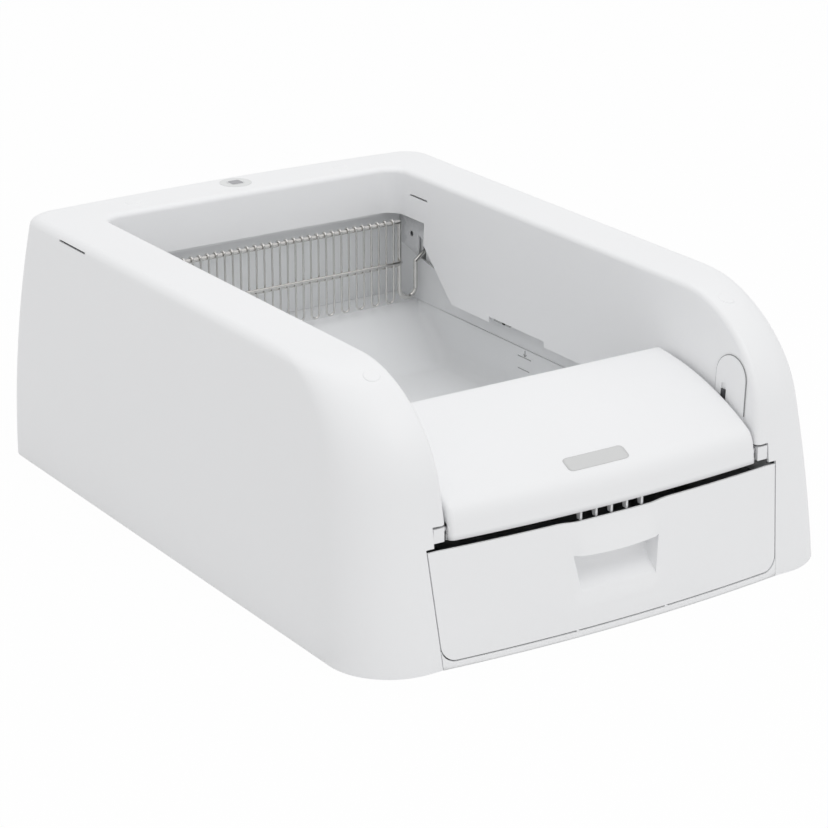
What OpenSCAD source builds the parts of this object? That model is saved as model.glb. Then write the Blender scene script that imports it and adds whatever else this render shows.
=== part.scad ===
// Self-cleaning litter box: a drafted casing over a litter tray, with a wire rake that swings along
// two curved rails, a hinged waste lid and a waste drawer at the front.
// Front faces -Y, +X is to the right, the floor is z = 0. Millimetres.

/* [Casing] */
// Width of the casing at the floor
case_w = 530; // [510:1:550]
// Length of the casing from the front bow to the rear bow
case_l = 716; // [700:1:730]
// Height of the rim above the floor
case_h = 253; // [248:1:262]
// Wall of the casing
wall = 3; // [2:0.5:4]
// How far each side leans in from the floor to the rim
side_lean = 26; // [18:1:30]
// How far the rear leans in from the floor to the rim
rear_lean = 4; // [0:1:8]
// Lean of the front face, run per unit of rise
front_lean = 0.142; // [0.12:0.002:0.16]
// Bow of the front face between the drawer's edges
front_bow = 10; // [4:1:12]
// Bow of the rear face
rear_bow = 8; // [2:1:12]
// Radius of the front corners, seen from above
front_corner_r = 62; // [50:1:66]
// Radius of the rear corners, seen from above
rear_corner_r = 26; // [18:1:34]
// Radius of the outer edge of the rim
edge_r = 9; // [6:0.5:11]
// Height at which the arms begin to round over
shoulder_z = 160; // [154:1:166]
// Length of the round shoulder from front to rear
shoulder_run = 103; // [96:1:108]
// Gap between the casing's lower edge and the floor
case_lift = 0.5; // [0.4:0.1:1]

/* [Opening and inner panels] */
// Half width of the opening at the hinge notches
opening_low = 172.5; // [171.6:0.1:173.5]
// Half width of the opening at the rim
opening_top = 178; // [177:0.5:180]
// Width of the rear rim, from the rear bow to the opening
rear_rim = 69; // [66:1:72]
// Radius of the rear corners of the opening
opening_corner_r = 20; // [14:1:26]
// Thickness of the inner panels
panel_t = 2.5; // [2:0.1:2.8]
// How far the side panels hang below the rim
panel_drop = 125; // [122:0.5:127]
// How far the rear panel hangs below the rim
rear_panel_drop = 50; // [47:0.5:51]
// Length of the cut-away at the rear of each side panel
panel_cut = 59; // [56:1:64]
// Depth of the sensor notch in the panel's lower edge
sensor_notch = 6; // [4:0.5:8]

/* [Litter tray and base] */
// Half width of the tray inside
tray_half = 194; // [193.5:0.1:194.5]
// Thickness of the tray
tray_t = 2.5; // [2:0.1:3]
// How far the tray's rim lies below the casing's rim
tray_drop = 149; // [148:0.5:151]
// Height of the tray's floor
tray_floor = 47; // [44:0.5:48]
// Length of the sloping rear end of the tray
tray_slope = 65; // [60:1:70]
// Length of the ramp at the front of the tray
tray_ramp = 90; // [86:1:94]
// Step from the tray's rim down to the crest of its ramp
crest_step = 4; // [3:0.5:5.5]
// Radius where the tray's slopes meet its floor
tray_blend = 30; // [20:1:36]
// Width of the base flange that the rails stand on
base_flange = 30; // [27:1:34]
// Height of the rubber feet
foot_h = 2; // [1.5:0.5:3]
// Radius of the rubber feet
foot_r = 9; // [6:0.5:11]

/* [Rake] */
// Distance from the rear bow to the parked rake
rake_back = 94; // [92:1:97]
// Distance from the front seam to the end of the sweep
sweep_front = 156; // [154:1:160]
// How far the parked tine tips hang below the casing's rim
park_drop = 144.5; // [143.5:0.5:146]
// How far the tine tips dip in the middle of the sweep
tip_rise = 24; // [20:0.5:25]
// Distance from the casing's rim down to the rake's upper rail
rake_drop = 55; // [54:0.5:59]
// Distance from the rake's upper rail down to its middle rail
rake_mid_drop = 48; // [36:1:58]
// Half width of the rake
rake_half = 166; // [163:0.5:167]
// Tines in the rake, joined in pairs by loops
tine_count = 34; // [24:2:36]
// Radius of the tine wire
tine_r = 1.1; // [0.8:0.1:1.4]
// Radius of the heavy wire of the rails and the side arms
arm_r = 2.5; // [2:0.1:2.8]
// Width of the side arm's loop that passes under the panel
arm_loop = 21; // [20:0.5:22]

/* [Rails and drive] */
// Distance from the tine tips to the middle of the rail
rail_above_tip = 56; // [54:0.5:57]
// Half height of the rail's channel
channel_half = 16.5; // [15.5:0.5:18]
// Thickness of the rail's flanges and web
rail_t = 3; // [2.5:0.5:4]
// Distance from the tray's inside to the rail's flanges
rail_gap = 4; // [3.6:0.1:5]
// Depth of the rail's channel
channel_d = 16; // [15:0.5:17]
// Length of the carriage along the rail
carriage_l = 40; // [34:1:44]
// Running gap of the carriage and the lid
run_gap = 0.3; // [0.25:0.05:0.5]
// Pitch radius of the drive pulleys
pulley_r = 12; // [11:0.5:12.5]
// Thickness of the drive belt
belt_t = 1.6; // [1.2:0.2:2]
// Width of the drive belt
belt_w = 8; // [6:0.5:8.5]
// Radius of the drive shaft
shaft_r = 4; // [3:0.5:5]
// Running clearance of pins and shafts in their bores
pin_gap = 0.05; // [0.02:0.01:0.1]
// Distance of the drive shaft from the rear bow
drive_back = 40; // [39:0.5:41.5]
// Radius of the motor
motor_r = 11; // [9:0.5:11.5]
// Length of the motor
motor_l = 56; // [40:1:70]

/* [Lid] */
// Length of the waste lid from front to rear
lid_l = 147; // [140:1:150]
// How far the lid's rear edge lies below the casing's rim
lid_rear_drop = 68; // [65:0.5:71]
// Height at which the lid's front rounds over
lid_front_z = 146; // [142:0.5:148]
// Gap between the drawer and the lid's front lip
lid_lip_gap = 6.5; // [6:0.5:8]
// Half width of the lid
lid_half = 170; // [169:0.1:170.2]
// Thickness of the lid
lid_t = 2.5; // [2:0.1:3]
// Lowest edge of the lid's rear skirt
lid_skirt_z = 140; // [134:1:150]
// Distance of the lid's hinge behind the front seam
hinge_back = 24; // [23:0.5:25]
// Height of the lid's hinge
hinge_z = 122; // [121:0.5:123]
// Radius of the hinge pins
hinge_pin_r = 3; // [2:0.25:3.5]

/* [Drawer] */
// Half width of the drawer's front at its lower edge
drawer_low_half = 186; // [184:0.5:187]
// Half width of the drawer's front at its upper edge
drawer_top_half = 193.5; // [192:0.5:194]
// Height of the drawer's lower edge
drawer_low = 7.3; // [7:0.1:9]
// Height of the drawer's upper edge
drawer_top = 106.5; // [104:0.5:107]
// Gap round the drawer's front
drawer_gap = 1.2; // [0.8:0.1:1.6]
// Radius of the drawer's lower corners
drawer_corner_r = 14; // [8:1:18]
// Thickness of the drawer's front
drawer_t = 3; // [2.5:0.5:4]
// Thickness of the bin
bin_t = 2.5; // [2:0.1:3]
// Height of the bin's walls
bin_top = 96; // [88:1:97]
// Half width of the handle
handle_half = 46; // [40:1:52]
// Lower edge of the finger recess
recess_low = 37; // [32:1:42]
// Upper edge of the finger recess
recess_top = 75; // [68:1:78]
// Depth of the finger recess
recess_d = 24; // [18:1:28]
// How far the handle stands proud of the drawer's front
handle_proud = 1.5; // [0.5:0.25:2.5]
// Depth of the dip in the drawer's upper edge
dip = 3.5; // [3:0.5:5]

/* [Button, plugs and fittings] */
// Distance of the button from the rear bow
button_back = 32; // [31:1:34]
// Radius of the button
button_r = 9; // [7:0.5:10]
// Radius of the button's bezel
bezel_r = 17; // [14:0.5:18]
// Travel of the button
button_travel = 1; // [0.5:0.1:1.2]
// Radius of the rim plugs
plug_r = 8; // [6:0.5:9]
// Half spacing of the rear rim plugs
rear_plug_x = 126; // [110:1:135]
// Distance of the rear rim plugs from the rear bow
rear_plug_back = 39; // [38:0.5:42]
// How far the front rim plugs lie below the rim, on the shoulder
front_plug_drop = 9.6; // [8:0.2:12]
// Length of the accessory slots in the outer edge
outer_slot_l = 56; // [40:1:70]
// Length of the accessory slots in the inner panels
inner_slot_l = 33; // [20:1:40]
// Height of the slots
slot_h = 3; // [2:0.5:4]
// Radius of the arch cover plates
arch_r = 21; // [18:0.5:23]
// Thickness of the arch cover plates
arch_t = 1.2; // [1:0.1:1.4]
// Width of the slot in the arch plates
arch_slot = 7; // [5:0.5:8]

/* [Hidden] */
$fn = 64;
ARC_FN = 360;
FAR = 420;

// Places along the length
rear_y = case_l / 2;
seam_y = -case_l / 2 + front_bow;
opening_y = rear_y - rear_rim;
half_w = case_w / 2;
shoulder_rise = case_h - shoulder_z;
panel_low = case_h - panel_drop;
rear_panel_low = case_h - rear_panel_drop;
tray_rim = case_h - tray_drop;
crest_z = tray_rim - crest_step;

// Swing of the rake: the tips run on an arc through the parked place, the low place and the end of the sweep
rake_y = rear_y - rake_back;
sweep_y = seam_y + sweep_front;
swing_half = (rake_y - sweep_y) / 2;
swing_y = (rake_y + sweep_y) / 2;
tip_z = case_h - park_drop;
tip_r = (swing_half * swing_half + tip_rise * tip_rise) / (2 * tip_rise);
swing_z = tip_z - tip_rise + tip_r;
swing_a = 2 * asin(swing_half / tip_r);
rail_r = tip_r - rail_above_tip;
park_a = asin(swing_half / rail_r);
function arc_a(l) = l / rail_r * 180 / PI;
rail_past_rear = 17;
rail_past_front = 8;
nose_past = 21;
carriage_a = arc_a(carriage_l);
rail_rear_a = park_a + arc_a(carriage_l / 2 + rail_past_rear);
rail_front_a = park_a - swing_a - arc_a(carriage_l / 2 + rail_past_front);
nose_a = rail_front_a - arc_a(nose_past);
drive_y = rear_y - drive_back;
drive_a = asin((drive_y - swing_y) / rail_r);
drive_z = swing_z - rail_r * cos(drive_a);
rail_in = tray_half + rail_gap;
web_x = rail_in + channel_d;

// Hinge of the waste lid
hinge_y = seam_y + hinge_back;
lid_rear_y = hinge_y - 7.3 + lid_l;
lid_rear_z = case_h - lid_rear_drop;
lid_lip_z = drawer_top + lid_lip_gap;
lip_y = seam_y + front_lean * lid_lip_z;

function arc(c, r, a0, a1, n) = [for (i = [0:n]) c + r * [cos(a0 + (a1 - a0) * i / n), sin(a0 + (a1 - a0) * i / n)]];
function bezier(a, b, c, n) = [for (i = [0:n]) let (t = i / n) (1 - t) * (1 - t) * a + 2 * t * (1 - t) * b + t * t * c];

// Outline of the casing at height z, drawn in by t
function edge_in(z, t) = let (r = edge_r - t, up = z - (case_h - edge_r)) up <= 0 ? 0 : r - sqrt(max(0, r * r - up * up));
function side_x(z, t) = half_w - t - side_lean * pow(z / case_h, 2) - edge_in(z, t);
function rear_at(z, t) = rear_y - t - rear_lean * pow(z / case_h, 2) - edge_in(z, t);
function front_at(z, t) =
    let (s = max(0, z - shoulder_z) / (shoulder_rise - t))
    seam_y + front_lean * z + t + (shoulder_run - t * (1 - front_lean)) * (1 - sqrt(max(0, 1 - s * s)));
function bow_at(x) = front_bow * (1 - pow(x / drawer_low_half, 2));

RING_STEPS = 8;
CORNER_STEPS = 8;
function ring(z, t) =
    let (w = side_x(z, t), f = front_at(z, t), b = rear_at(z, t), fr = front_corner_r - t, rr = rear_corner_r - t)
    [for (p = concat(
        arc([w - fr, f + fr], fr, -90, 0, CORNER_STEPS),
        arc([w - rr, b - rear_bow - rr], rr, 0, 90, CORNER_STEPS),
        [for (i = [1:RING_STEPS - 1]) let (s = 1 - 2 * i / RING_STEPS) [s * (w - rr), b - rear_bow * s * s]],
        arc([rr - w, b - rear_bow - rr], rr, 90, 180, CORNER_STEPS),
        arc([fr - w, f + fr], fr, 180, 270, CORNER_STEPS),
        [for (i = [0:RING_STEPS]) let (h = min(drawer_low_half, w - fr - 1), x = h * (2 * i / RING_STEPS - 1))
            [x, f - bow_at(x)]]
    )) [p.x, p.y, z]];

// Heights of the rings: few on the drafted wall, more round the shoulder and the rim's edge
function ring_heights(low, t) = concat(
    [low, shoulder_z * 0.4, shoulder_z * 0.75, shoulder_z],
    [for (a = [18:12:66]) shoulder_z + (shoulder_rise - t) * sin(a)],
    [for (a = [30:20:90]) case_h - edge_r + (edge_r - t) * sin(a)]
);

// Solid through a list of rings of equal length, each end closed by triangles to its middle. A thin ring, out
// along one line and back along another, has its ends closed by a strip between the two lines.
function middle(r) = [for (p = r) 1] * r / len(r);
module ring_loft(rings, thin = false) {
    n = len(rings[0]);
    top = (len(rings) - 1) * n;
    foot = top + n;
    cap = thin ? [for (j = [0:n / 2 - 2]) each [[j, j + 1, n - 2 - j], [j, n - 2 - j, n - 1 - j]]]
        : [for (j = [0:n - 1]) [j, (j + 1) % n, foot]];
    polyhedron(
        points = concat([for (r = rings) each r], thin ? [] : [middle(rings[0]), middle(rings[len(rings) - 1])]),
        faces = concat(
            cap,
            [for (f = cap) [f[2] == foot ? foot + 1 : top + f[2], top + f[1], top + f[0]]],
            [for (i = [0:len(rings) - 2], j = [0:n - 1]) let (k = (j + 1) % n, a = i * n, b = a + n)
                each [[a + j, b + j, b + k], [a + j, b + k, a + k]]]
        )
    );
}

module case_body(t, low) ring_loft([for (z = ring_heights(low, t)) ring(z, t)]);

// Block behind the leaning, bowed front face, drawn in by t, as high as the shoulder
BOW_STEPS = 20;
module front_block(t, low, high, half, rear) {
    function face(z) = concat(
        [for (i = [0:BOW_STEPS]) let (x = half * (2 * i / BOW_STEPS - 1))
            [x, seam_y + front_lean * z + t - bow_at(x), z]],
        [[half, rear, z], [-half, rear, z]]
    );
    ring_loft([face(low), face(high)]);
}

module along_x(x0, x1) translate([x0, 0, 0]) rotate([90, 0, 90]) linear_extrude(x1 - x0) children();
module along_y(y0, y1) translate([0, y1, 0]) rotate([90, 0, 0]) linear_extrude(y1 - y0) children();
module box(low, high) translate(low) cube(high - low);
module pair() {
    children();
    mirror([1, 0, 0]) children();
}

// Ring about the swing axis from angle a0 to a1, its section drawn as radius and x
module swing_ring(a0, a1)
    translate([0, swing_y, swing_z]) rotate([0, 90, 0]) rotate([0, 0, a0])
        rotate_extrude(angle = a1 - a0, $fn = ARC_FN) children();
module section(r0, r1, x0, x1) translate([r0, x0]) square([r1 - r0, x1 - x0]);
function swing_point(r, a) = [0, swing_y + r * sin(a), swing_z - r * cos(a)];
module rod_x(y, z, r, x0, x1) translate([x0, y, z]) rotate([0, 90, 0]) cylinder(r = r, h = x1 - x0);
module wire(a, b, r) {
    d = b - a;
    translate(a) rotate([0, acos(d.z / norm(d)), atan2(d.y, d.x)]) cylinder(r = r, h = norm(d));
}

// Opening of the casing, grown by g: a drafted trough with round rear corners
function opening_x(z) = opening_low + (opening_top - opening_low) * (z - panel_low) / (case_h - panel_low);
module opening(g, low) intersection() {
    along_y(-FAR, FAR) polygon([
        for (s = [[-1, low], [-1, case_h + 40], [1, case_h + 40], [1, low]])
            [s.x * (opening_x(s.y) + g), s.y]
    ]);
    translate([0, 0, low]) linear_extrude(case_h) {
        translate([-FAR / 2, -FAR]) square([FAR, FAR + opening_y - opening_corner_r]);
        translate([opening_corner_r - opening_top, 0])
            square([2 * (opening_top - opening_corner_r), opening_y + g]);
        for (s = [-1, 1])
            translate([s * (opening_top - opening_corner_r), opening_y - opening_corner_r])
                circle(opening_corner_r + g);
    }
}

// Lower edge of the inner panels, seen from the side
cut_y = opening_y - panel_cut;
cut_z = rear_panel_low - 24;
sensor_y = swing_y + 41;
sensor_l = 28;
notch_l = 98;
module panel_side() polygon([
    [-FAR, panel_low],
    [sensor_y + 26 - notch_l, panel_low],
    [sensor_y + 26 - notch_l, panel_low + sensor_notch],
    [sensor_y + 26, panel_low + sensor_notch],
    [sensor_y + 26, panel_low],
    [cut_y - 58, panel_low],
    [cut_y, cut_z],
    [cut_y, rear_panel_low],
    [FAR, rear_panel_low],
    [FAR, case_h + 40],
    [-FAR, case_h + 40]
]);

// Rim plugs: the rear pair stands upright, the front pair square to the shoulder
front_plug_x = 196.3;
front_plug_z = case_h - front_plug_drop;
front_plug_in = front_plug_x - side_x(front_plug_z, 0) + front_corner_r;
front_plug_y = front_at(front_plug_z, 0.5) + front_corner_r - sqrt(pow(front_corner_r, 2) - pow(front_plug_in, 2));
front_plug_tilt = atan(1 / (front_at(front_plug_z + 0.5, 0) - front_at(front_plug_z - 0.5, 0)));
plug_h = 3;
plug_seat = 8;
plug_gap = 0.05;
screw_head_r = 5;
screw_head_h = 3.5;
screw_r = 2;
screw_l = 12;
post_r = plug_r + 2.5;
module at_plugs() pair() {
    translate([rear_plug_x, rear_y - rear_plug_back, case_h]) children();
    translate([front_plug_x, front_plug_y, front_plug_z]) rotate([front_plug_tilt, 0, 0]) children();
}

button_y = rear_y - button_back;
board_z = case_h - 17;
board_t = 1.6;
board_x = 32;
board_y = 17;
board_post_r = 3;
module at_board_posts() for (s = [-1, 1], t = [-1, 1])
    translate([s * (board_x - 5), button_y + t * (board_y - 4), 0]) children();

inlet_x = 150;
inlet_z = 30;
inlet_r = 5;

outer_slot_y = opening_y - 28;
outer_slot_z = case_h - 8;
inner_slot_z = case_h - 26;

arch_y = hinge_y + 36;
arch_top = case_h - 50;
arch_slot_top = arch_top - 29;
arch_slot_low = arch_slot_top - 36;
arch_slot_y = arch_y + 9;
catch_z = arch_slot_top - 12;
catch_l = 28;
catch_h = 34;
catch_back_t = 2;
panel_tilt = atan((opening_top - opening_low) / (case_h - panel_low));
notch_x = 186.6;
notch_top = 129;
bay_side_gap = drawer_top + 3;
function drawer_x(z) = drawer_low_half + (drawer_top_half - drawer_low_half) * z / drawer_top;

// White casing with its rim, its two arms and its inner panels
module frame_shell() color("whitesmoke") difference() {
    union() {
        difference() {
            case_body(0, case_lift);
            case_body(wall, case_lift - 5);
            opening(0, panel_low - 30);
        }
        intersection() {
            union() {
                intersection() {
                    difference() {
                        opening(panel_t, panel_low - 30);
                        opening(0, panel_low - 31);
                    }
                    along_x(-FAR, FAR) panel_side();
                }
                pair() {
                    translate([rear_plug_x, rear_y - rear_plug_back, case_h - 26]) cylinder(r = post_r, h = 26);
                    translate([front_plug_x, front_plug_y, tray_rim + 0.2])
                        cylinder(r = post_r, h = case_h - tray_rim);
                }
                at_board_posts() translate([0, 0, board_z + board_t])
                    cylinder(r = board_post_r, h = case_h - board_z);
            }
            case_body(0.5, case_lift);
        }
    }
    pair() along_y(-FAR, seam_y + 60) polygon([
        [-1, -5],
        [drawer_x(-5) + drawer_gap, -5],
        [drawer_x(bay_side_gap) + drawer_gap, bay_side_gap],
        [notch_x, bay_side_gap],
        [notch_x, notch_top],
        [-1, notch_top]
    ]);
    at_plugs() {
        translate([0, 0, -plug_seat]) cylinder(r = plug_r + plug_gap, h = plug_seat + 20);
        translate([0, 0, -plug_seat - screw_l]) cylinder(r = screw_r + plug_gap, h = screw_l + 1);
    }
    translate([0, button_y, case_h - wall - 2]) cylinder(r = bezel_r + plug_gap, h = wall + 4);
    translate([inlet_x, rear_y - 20, inlet_z]) rotate([-90, 0, 0]) cylinder(r = inlet_r + 0.2, h = 40);
    pair() {
        box([side_x(outer_slot_z, 0) - 8, outer_slot_y - outer_slot_l, outer_slot_z],
            [half_w, outer_slot_y, outer_slot_z + slot_h]);
        box([opening_low, cut_y - 4, inner_slot_z], [opening_top + 9, cut_y - 4 + inner_slot_l, inner_slot_z + slot_h]);
        box([opening_low - 5, arch_slot_y - arch_slot / 2, arch_slot_low],
            [opening_top + 9, arch_slot_y + arch_slot / 2, arch_slot_top]);
    }
}

// Round caps over the frame screws
module rim_plugs() color("white") at_plugs() translate([0, 0, 0.3 - plug_h]) cylinder(r = plug_r, h = plug_h);

// Screws under the rim plugs
module frame_screws() color("silver") at_plugs() translate([0, 0, -plug_seat]) {
    cylinder(r = screw_head_r, h = screw_head_h);
    translate([0, 0, -screw_l + 1]) cylinder(r = screw_r, h = screw_l);
}

// Inside of the litter pan from the side: rear slope, floor and front ramp, blended by arcs
pan_rear = opening_y - 18;
crest_y = sweep_y + 2;
slope_a = atan((tray_rim - tray_floor) / tray_slope);
ramp_a = atan((crest_z - tray_floor) / tray_ramp);
module pan_side(t) polygon(concat(
    [[crest_y - t, crest_z + 60], [crest_y - t, crest_z]],
    arc([crest_y - t + tray_ramp - tray_blend * tan(ramp_a / 2), tray_floor - t + tray_blend] +
        [tray_blend * tan(ramp_a / 2) * 2, 0], tray_blend, 270 - ramp_a, 270, 6),
    arc([pan_rear + t - tray_slope - tray_blend * tan(slope_a / 2), tray_floor - t + tray_blend],
        tray_blend, 270, 270 + slope_a, 6),
    [[pan_rear + t, tray_rim], [pan_rear + t, tray_rim + 60]]
));

bay_front = seam_y + 26;
base_rear = opening_y + 23;
wall_in = 1;
wall_h = 60;
runner_x = 150;
runner_w = 6;
strip_gap = 0.4;
strip_top = drawer_low + drawer_corner_r * 0.7;
floor_low = foot_h;
floor_t = 2.5;
module base_tray() color("gainsboro") {
    difference() {
        intersection() {
            along_x(-tray_half - tray_t, tray_half + tray_t) pan_side(tray_t);
            box([-FAR, -FAR, 0], [FAR, FAR, tray_rim]);
        }
        along_x(-tray_half, tray_half) pan_side(0);
    }
    pair() {
        box([tray_half, bay_front, floor_low], [tray_half + tray_t, pan_rear + tray_t, tray_rim]);
        box([tray_half, sweep_y - 10, floor_low],
            [tray_half + tray_t + base_flange, pan_rear - 10, floor_low + rail_t]);
        box([runner_x, bay_front - 8, floor_low], [runner_x + runner_w, crest_y - 5, drawer_low + 0.4]);
    }
    difference() {
        pair() box([tray_half + wall_in, crest_y, tray_rim - 1],
            [rail_in - 0.8, liner_y - 0.3, tray_rim + wall_h]);
        rod_x(swing_y, swing_z, wall_r, -FAR, FAR);
    }
    box([-tray_half, pan_rear, floor_low], [tray_half, pan_rear + tray_t, tray_rim]);
    box([-tray_half - tray_t, pan_rear, tray_rim - tray_t], [tray_half + tray_t, base_rear, tray_rim]);
    box([-tray_half, crest_y - 2 * tray_t, floor_low], [tray_half, crest_y - tray_t + 0.5, crest_z]);
    for (y = [swing_y - 90, swing_y + 90])
        box([-tray_half, y, floor_low], [tray_half, y + tray_t, tray_floor - tray_t / 2]);
    intersection() {
        front_block(0.5, 0, 60, drawer_low_half - 0.4, crest_y);
        box([-FAR, -FAR, floor_low], [FAR, crest_y, floor_low + floor_t]);
    }
    box([-tray_half, bay_front, floor_low], [tray_half, crest_y, floor_low + floor_t]);
    intersection() {
        difference() {
            front_block(0, -1, 60, FAR / 2, crest_y);
            front_block(wall, -2, 61, FAR / 2 + 1, crest_y + 1);
        }
        along_y(-FAR, 0) difference() {
            polygon([for (e = [[-1, case_lift], [1, case_lift], [1, strip_top], [-1, strip_top]])
                [e.x * (drawer_x(e.y) + drawer_gap - strip_gap), e.y]]);
            drawer_outline(drawer_gap);
        }
    }
}

// Rubber feet under the base
module rubber_feet() color("dimgray") pair() {
    for (p = [[tray_half - 20, bay_front + 4], [tray_half + 14, swing_y], [tray_half + 14, pan_rear - 28]])
        translate([p.x, p.y, 0]) cylinder(r = foot_r, h = foot_h);
}

// Grey wall behind the rake, with the shelf that carries the drive
shelf_rear = rear_y - 14;
liner_y = opening_y + 19;
liner_t = 2.5;
shelf_half = rail_in - 2;
shelf_low = rear_panel_low - 3.2;
gusset_x = 120;
gusset_t = 3;
module rear_liner() color("lightgray") {
    box([-shelf_half, liner_y, tray_rim + 0.2], [shelf_half, liner_y + liner_t, rear_panel_low - 0.2]);
    box([-shelf_half, opening_y + panel_t + 0.3, shelf_low], [shelf_half, shelf_rear, rear_panel_low - 0.2]);
    for (x = [-gusset_x, 0, gusset_x])
        box([x - gusset_t / 2, liner_y + liner_t - 1, drive_z + shaft_r + 2],
            [x + gusset_t / 2, shelf_rear - 6, shelf_low + 1]);
}

// Curved rail: a channel about the swing axis on a web that stands on the base
leg_w = 24;
leg_z = floor_low + rail_t;
channel_in = rail_r - channel_half;
channel_out = rail_r + channel_half;
leg_places = [sweep_y + 34, swing_y, rake_y - 36];
web_edge = 1;
rail_end_r = channel_half + rail_t + web_edge + 1;
module rail() {
    drive = swing_point(rail_r, drive_a);
    nose = swing_point(rail_r, nose_a);
    difference() {
        union() {
            swing_ring(rail_front_a, rail_rear_a) {
                section(channel_in - rail_t, channel_in, rail_in, web_x + rail_t / 2);
                section(channel_out, channel_out + rail_t, rail_in, web_x + rail_t / 2);
            }
            swing_ring(nose_a, drive_a)
                section(channel_in - rail_t - web_edge, channel_out + rail_t + web_edge, web_x, web_x + rail_t);
            for (p = [drive, nose]) rod_x(p.y, p.z, rail_end_r, web_x, web_x + rail_t);
            rod_x(nose.y, nose.z, pulley_r - belt_t / 2 - 0.1, web_x - 2 - belt_w - 0.6, web_x + 1);
            for (y = leg_places) {
                top = swing_z - sqrt(pow(channel_out + rail_t / 2, 2) - pow(y - swing_y, 2)) + 6;
                box([web_x, y - leg_w / 2, leg_z], [web_x + rail_t, y + leg_w / 2, top]);
                box([web_x - 8, y - leg_w / 2, leg_z], [web_x + rail_t, y + leg_w / 2, leg_z + rail_t]);
            }
        }
        rod_x(drive.y, drive.z, shaft_r + pin_gap, web_x - 1, web_x + rail_t + 1);
    }
}
module rail_right() color("silver") rail();
module rail_left() color("silver") mirror([1, 0, 0]) rail();

// Toothed belt, drawn as its smooth band: two arcs joined round the pulley and the nose
belt_x = web_x - 2 - belt_w;
module belt() {
    swing_ring(nose_a, drive_a) {
        section(rail_r - pulley_r - belt_t / 2, rail_r - pulley_r + belt_t / 2, belt_x, belt_x + belt_w);
        section(rail_r + pulley_r - belt_t / 2, rail_r + pulley_r + belt_t / 2, belt_x, belt_x + belt_w);
    }
    for (e = [[drive_a, 1], [nose_a, -1]]) {
        p = swing_point(rail_r, e[0]);
        translate([belt_x, p.y, p.z]) rotate([0, 90, 0]) rotate([0, 0, e[0] + (e[1] > 0 ? 0 : 180)])
            rotate_extrude(angle = 180, $fn = ARC_FN)
                translate([pulley_r - belt_t / 2, 0]) square([belt_t, belt_w]);
    }
}
module belt_right() color("dimgray") belt();
module belt_left() color("dimgray") mirror([1, 0, 0]) belt();

// Cross shaft behind the rear panel
module drive_shaft() color("silver")
    rod_x(drive_y, drive_z, shaft_r, -web_x - rail_t - 2, web_x + rail_t + 2);

flange_t = 1;
module pulley() difference() {
    union() {
        rod_x(drive_y, drive_z, pulley_r - belt_t / 2 - 0.1, belt_x - 0.5, belt_x + belt_w + 0.5);
        for (x = [belt_x - 0.5 - flange_t, belt_x + belt_w + 0.5])
            rod_x(drive_y, drive_z, pulley_r + 2, x, x + flange_t);
    }
    rod_x(drive_y, drive_z, shaft_r + 0.02, belt_x - 5, belt_x + belt_w + 5);
}
module drive_pulley_right() color("gray") pulley();
module drive_pulley_left() color("gray") mirror([1, 0, 0]) pulley();

// Gearbox under the shelf, behind the liner, with the motor on its side
gearbox_x = -104;
gearbox_w = 42;
gearbox_low = drive_z - 20;
gearbox_front = liner_y + liner_t + 0.3;
gearbox_rear = drive_y + 26;
motor_y = drive_y + 14;
motor_z = drive_z - 7.5;
module gearbox_case() color("black") difference() {
    box([gearbox_x, gearbox_front, gearbox_low], [gearbox_x + gearbox_w, gearbox_rear, shelf_low - 0.2]);
    rod_x(drive_y, drive_z, shaft_r + pin_gap, gearbox_x - 1, gearbox_x + gearbox_w + 1);
}
module drive_motor() color("silver") {
    motor_x = gearbox_x + gearbox_w;
    rod_x(motor_y, motor_z, motor_r, motor_x, motor_x + motor_l);
    rod_x(motor_y, motor_z, motor_r / 3, motor_x + motor_l, motor_x + motor_l + 3);
}

// Control board under the button, with its push switch
switch_h = 3.5;
switch_w = 6;
plunger_h = 0.7;
module control_board() color("darkgreen") translate([0, button_y, board_z]) {
    box([-board_x, -board_y, 0], [board_x, board_y, board_t]);
    box([-switch_w / 2, -switch_w / 2, board_t], [switch_w / 2, switch_w / 2, board_t + switch_h]);
    translate([0, 0, board_t + switch_h]) cylinder(r = 1.7, h = plunger_h);
    box([12, -8, -3], [24, 4, 0]);
    box([-24, -10, -6], [-12, -4, 0]);
}

button_top = case_h + 0.4;
stem_r = 3;
module start_button() color("gray") translate([0, button_y, 0]) {
    translate([0, 0, case_h - 4]) cylinder(r = button_r, h = button_top - case_h + 4);
    translate([0, 0, board_z + board_t + switch_h + plunger_h + button_travel + 0.1])
        cylinder(r = stem_r, h = case_h - 3 - (board_z + board_t + switch_h + plunger_h + button_travel));
}
module button_bezel() color("lightgray") translate([0, button_y, 0]) difference() {
    union() {
        translate([0, 0, case_h - wall]) cylinder(r = bezel_r, h = wall + 0.3);
        translate([0, 0, case_h - 9]) cylinder(r = button_r + 3, h = 9);
    }
    translate([0, 0, case_h - 10]) cylinder(r = button_r + run_gap, h = 12);
}

// DC inlet in the rear wall, with its centre pin
module dc_inlet() color("black") translate([inlet_x, rear_at(inlet_z, wall) - rear_bow / 2, inlet_z])
    rotate([-90, 0, 0]) difference() {
        union() {
            translate([-7, -6, -11]) cube([14, 12, 11]);
            cylinder(r = inlet_r, h = wall);
        }
        difference() {
            translate([0, 0, -8]) cylinder(r = inlet_r - 2, h = 20);
            translate([0, 0, -9]) cylinder(r = 1, h = 11);
        }
    }

// End switches that the right carriage meets
end_switch_l = 8;
end_switch_gap = 4.6;
module end_switches() color("black") for (a = [
    park_a + arc_a(carriage_l / 2 + end_switch_gap),
    park_a - swing_a - arc_a(carriage_l / 2 + end_switch_gap + end_switch_l)
])
    swing_ring(a, a + arc_a(end_switch_l)) section(rail_r - 6, rail_r + 6, web_x - 8, web_x - 0.2);

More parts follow.
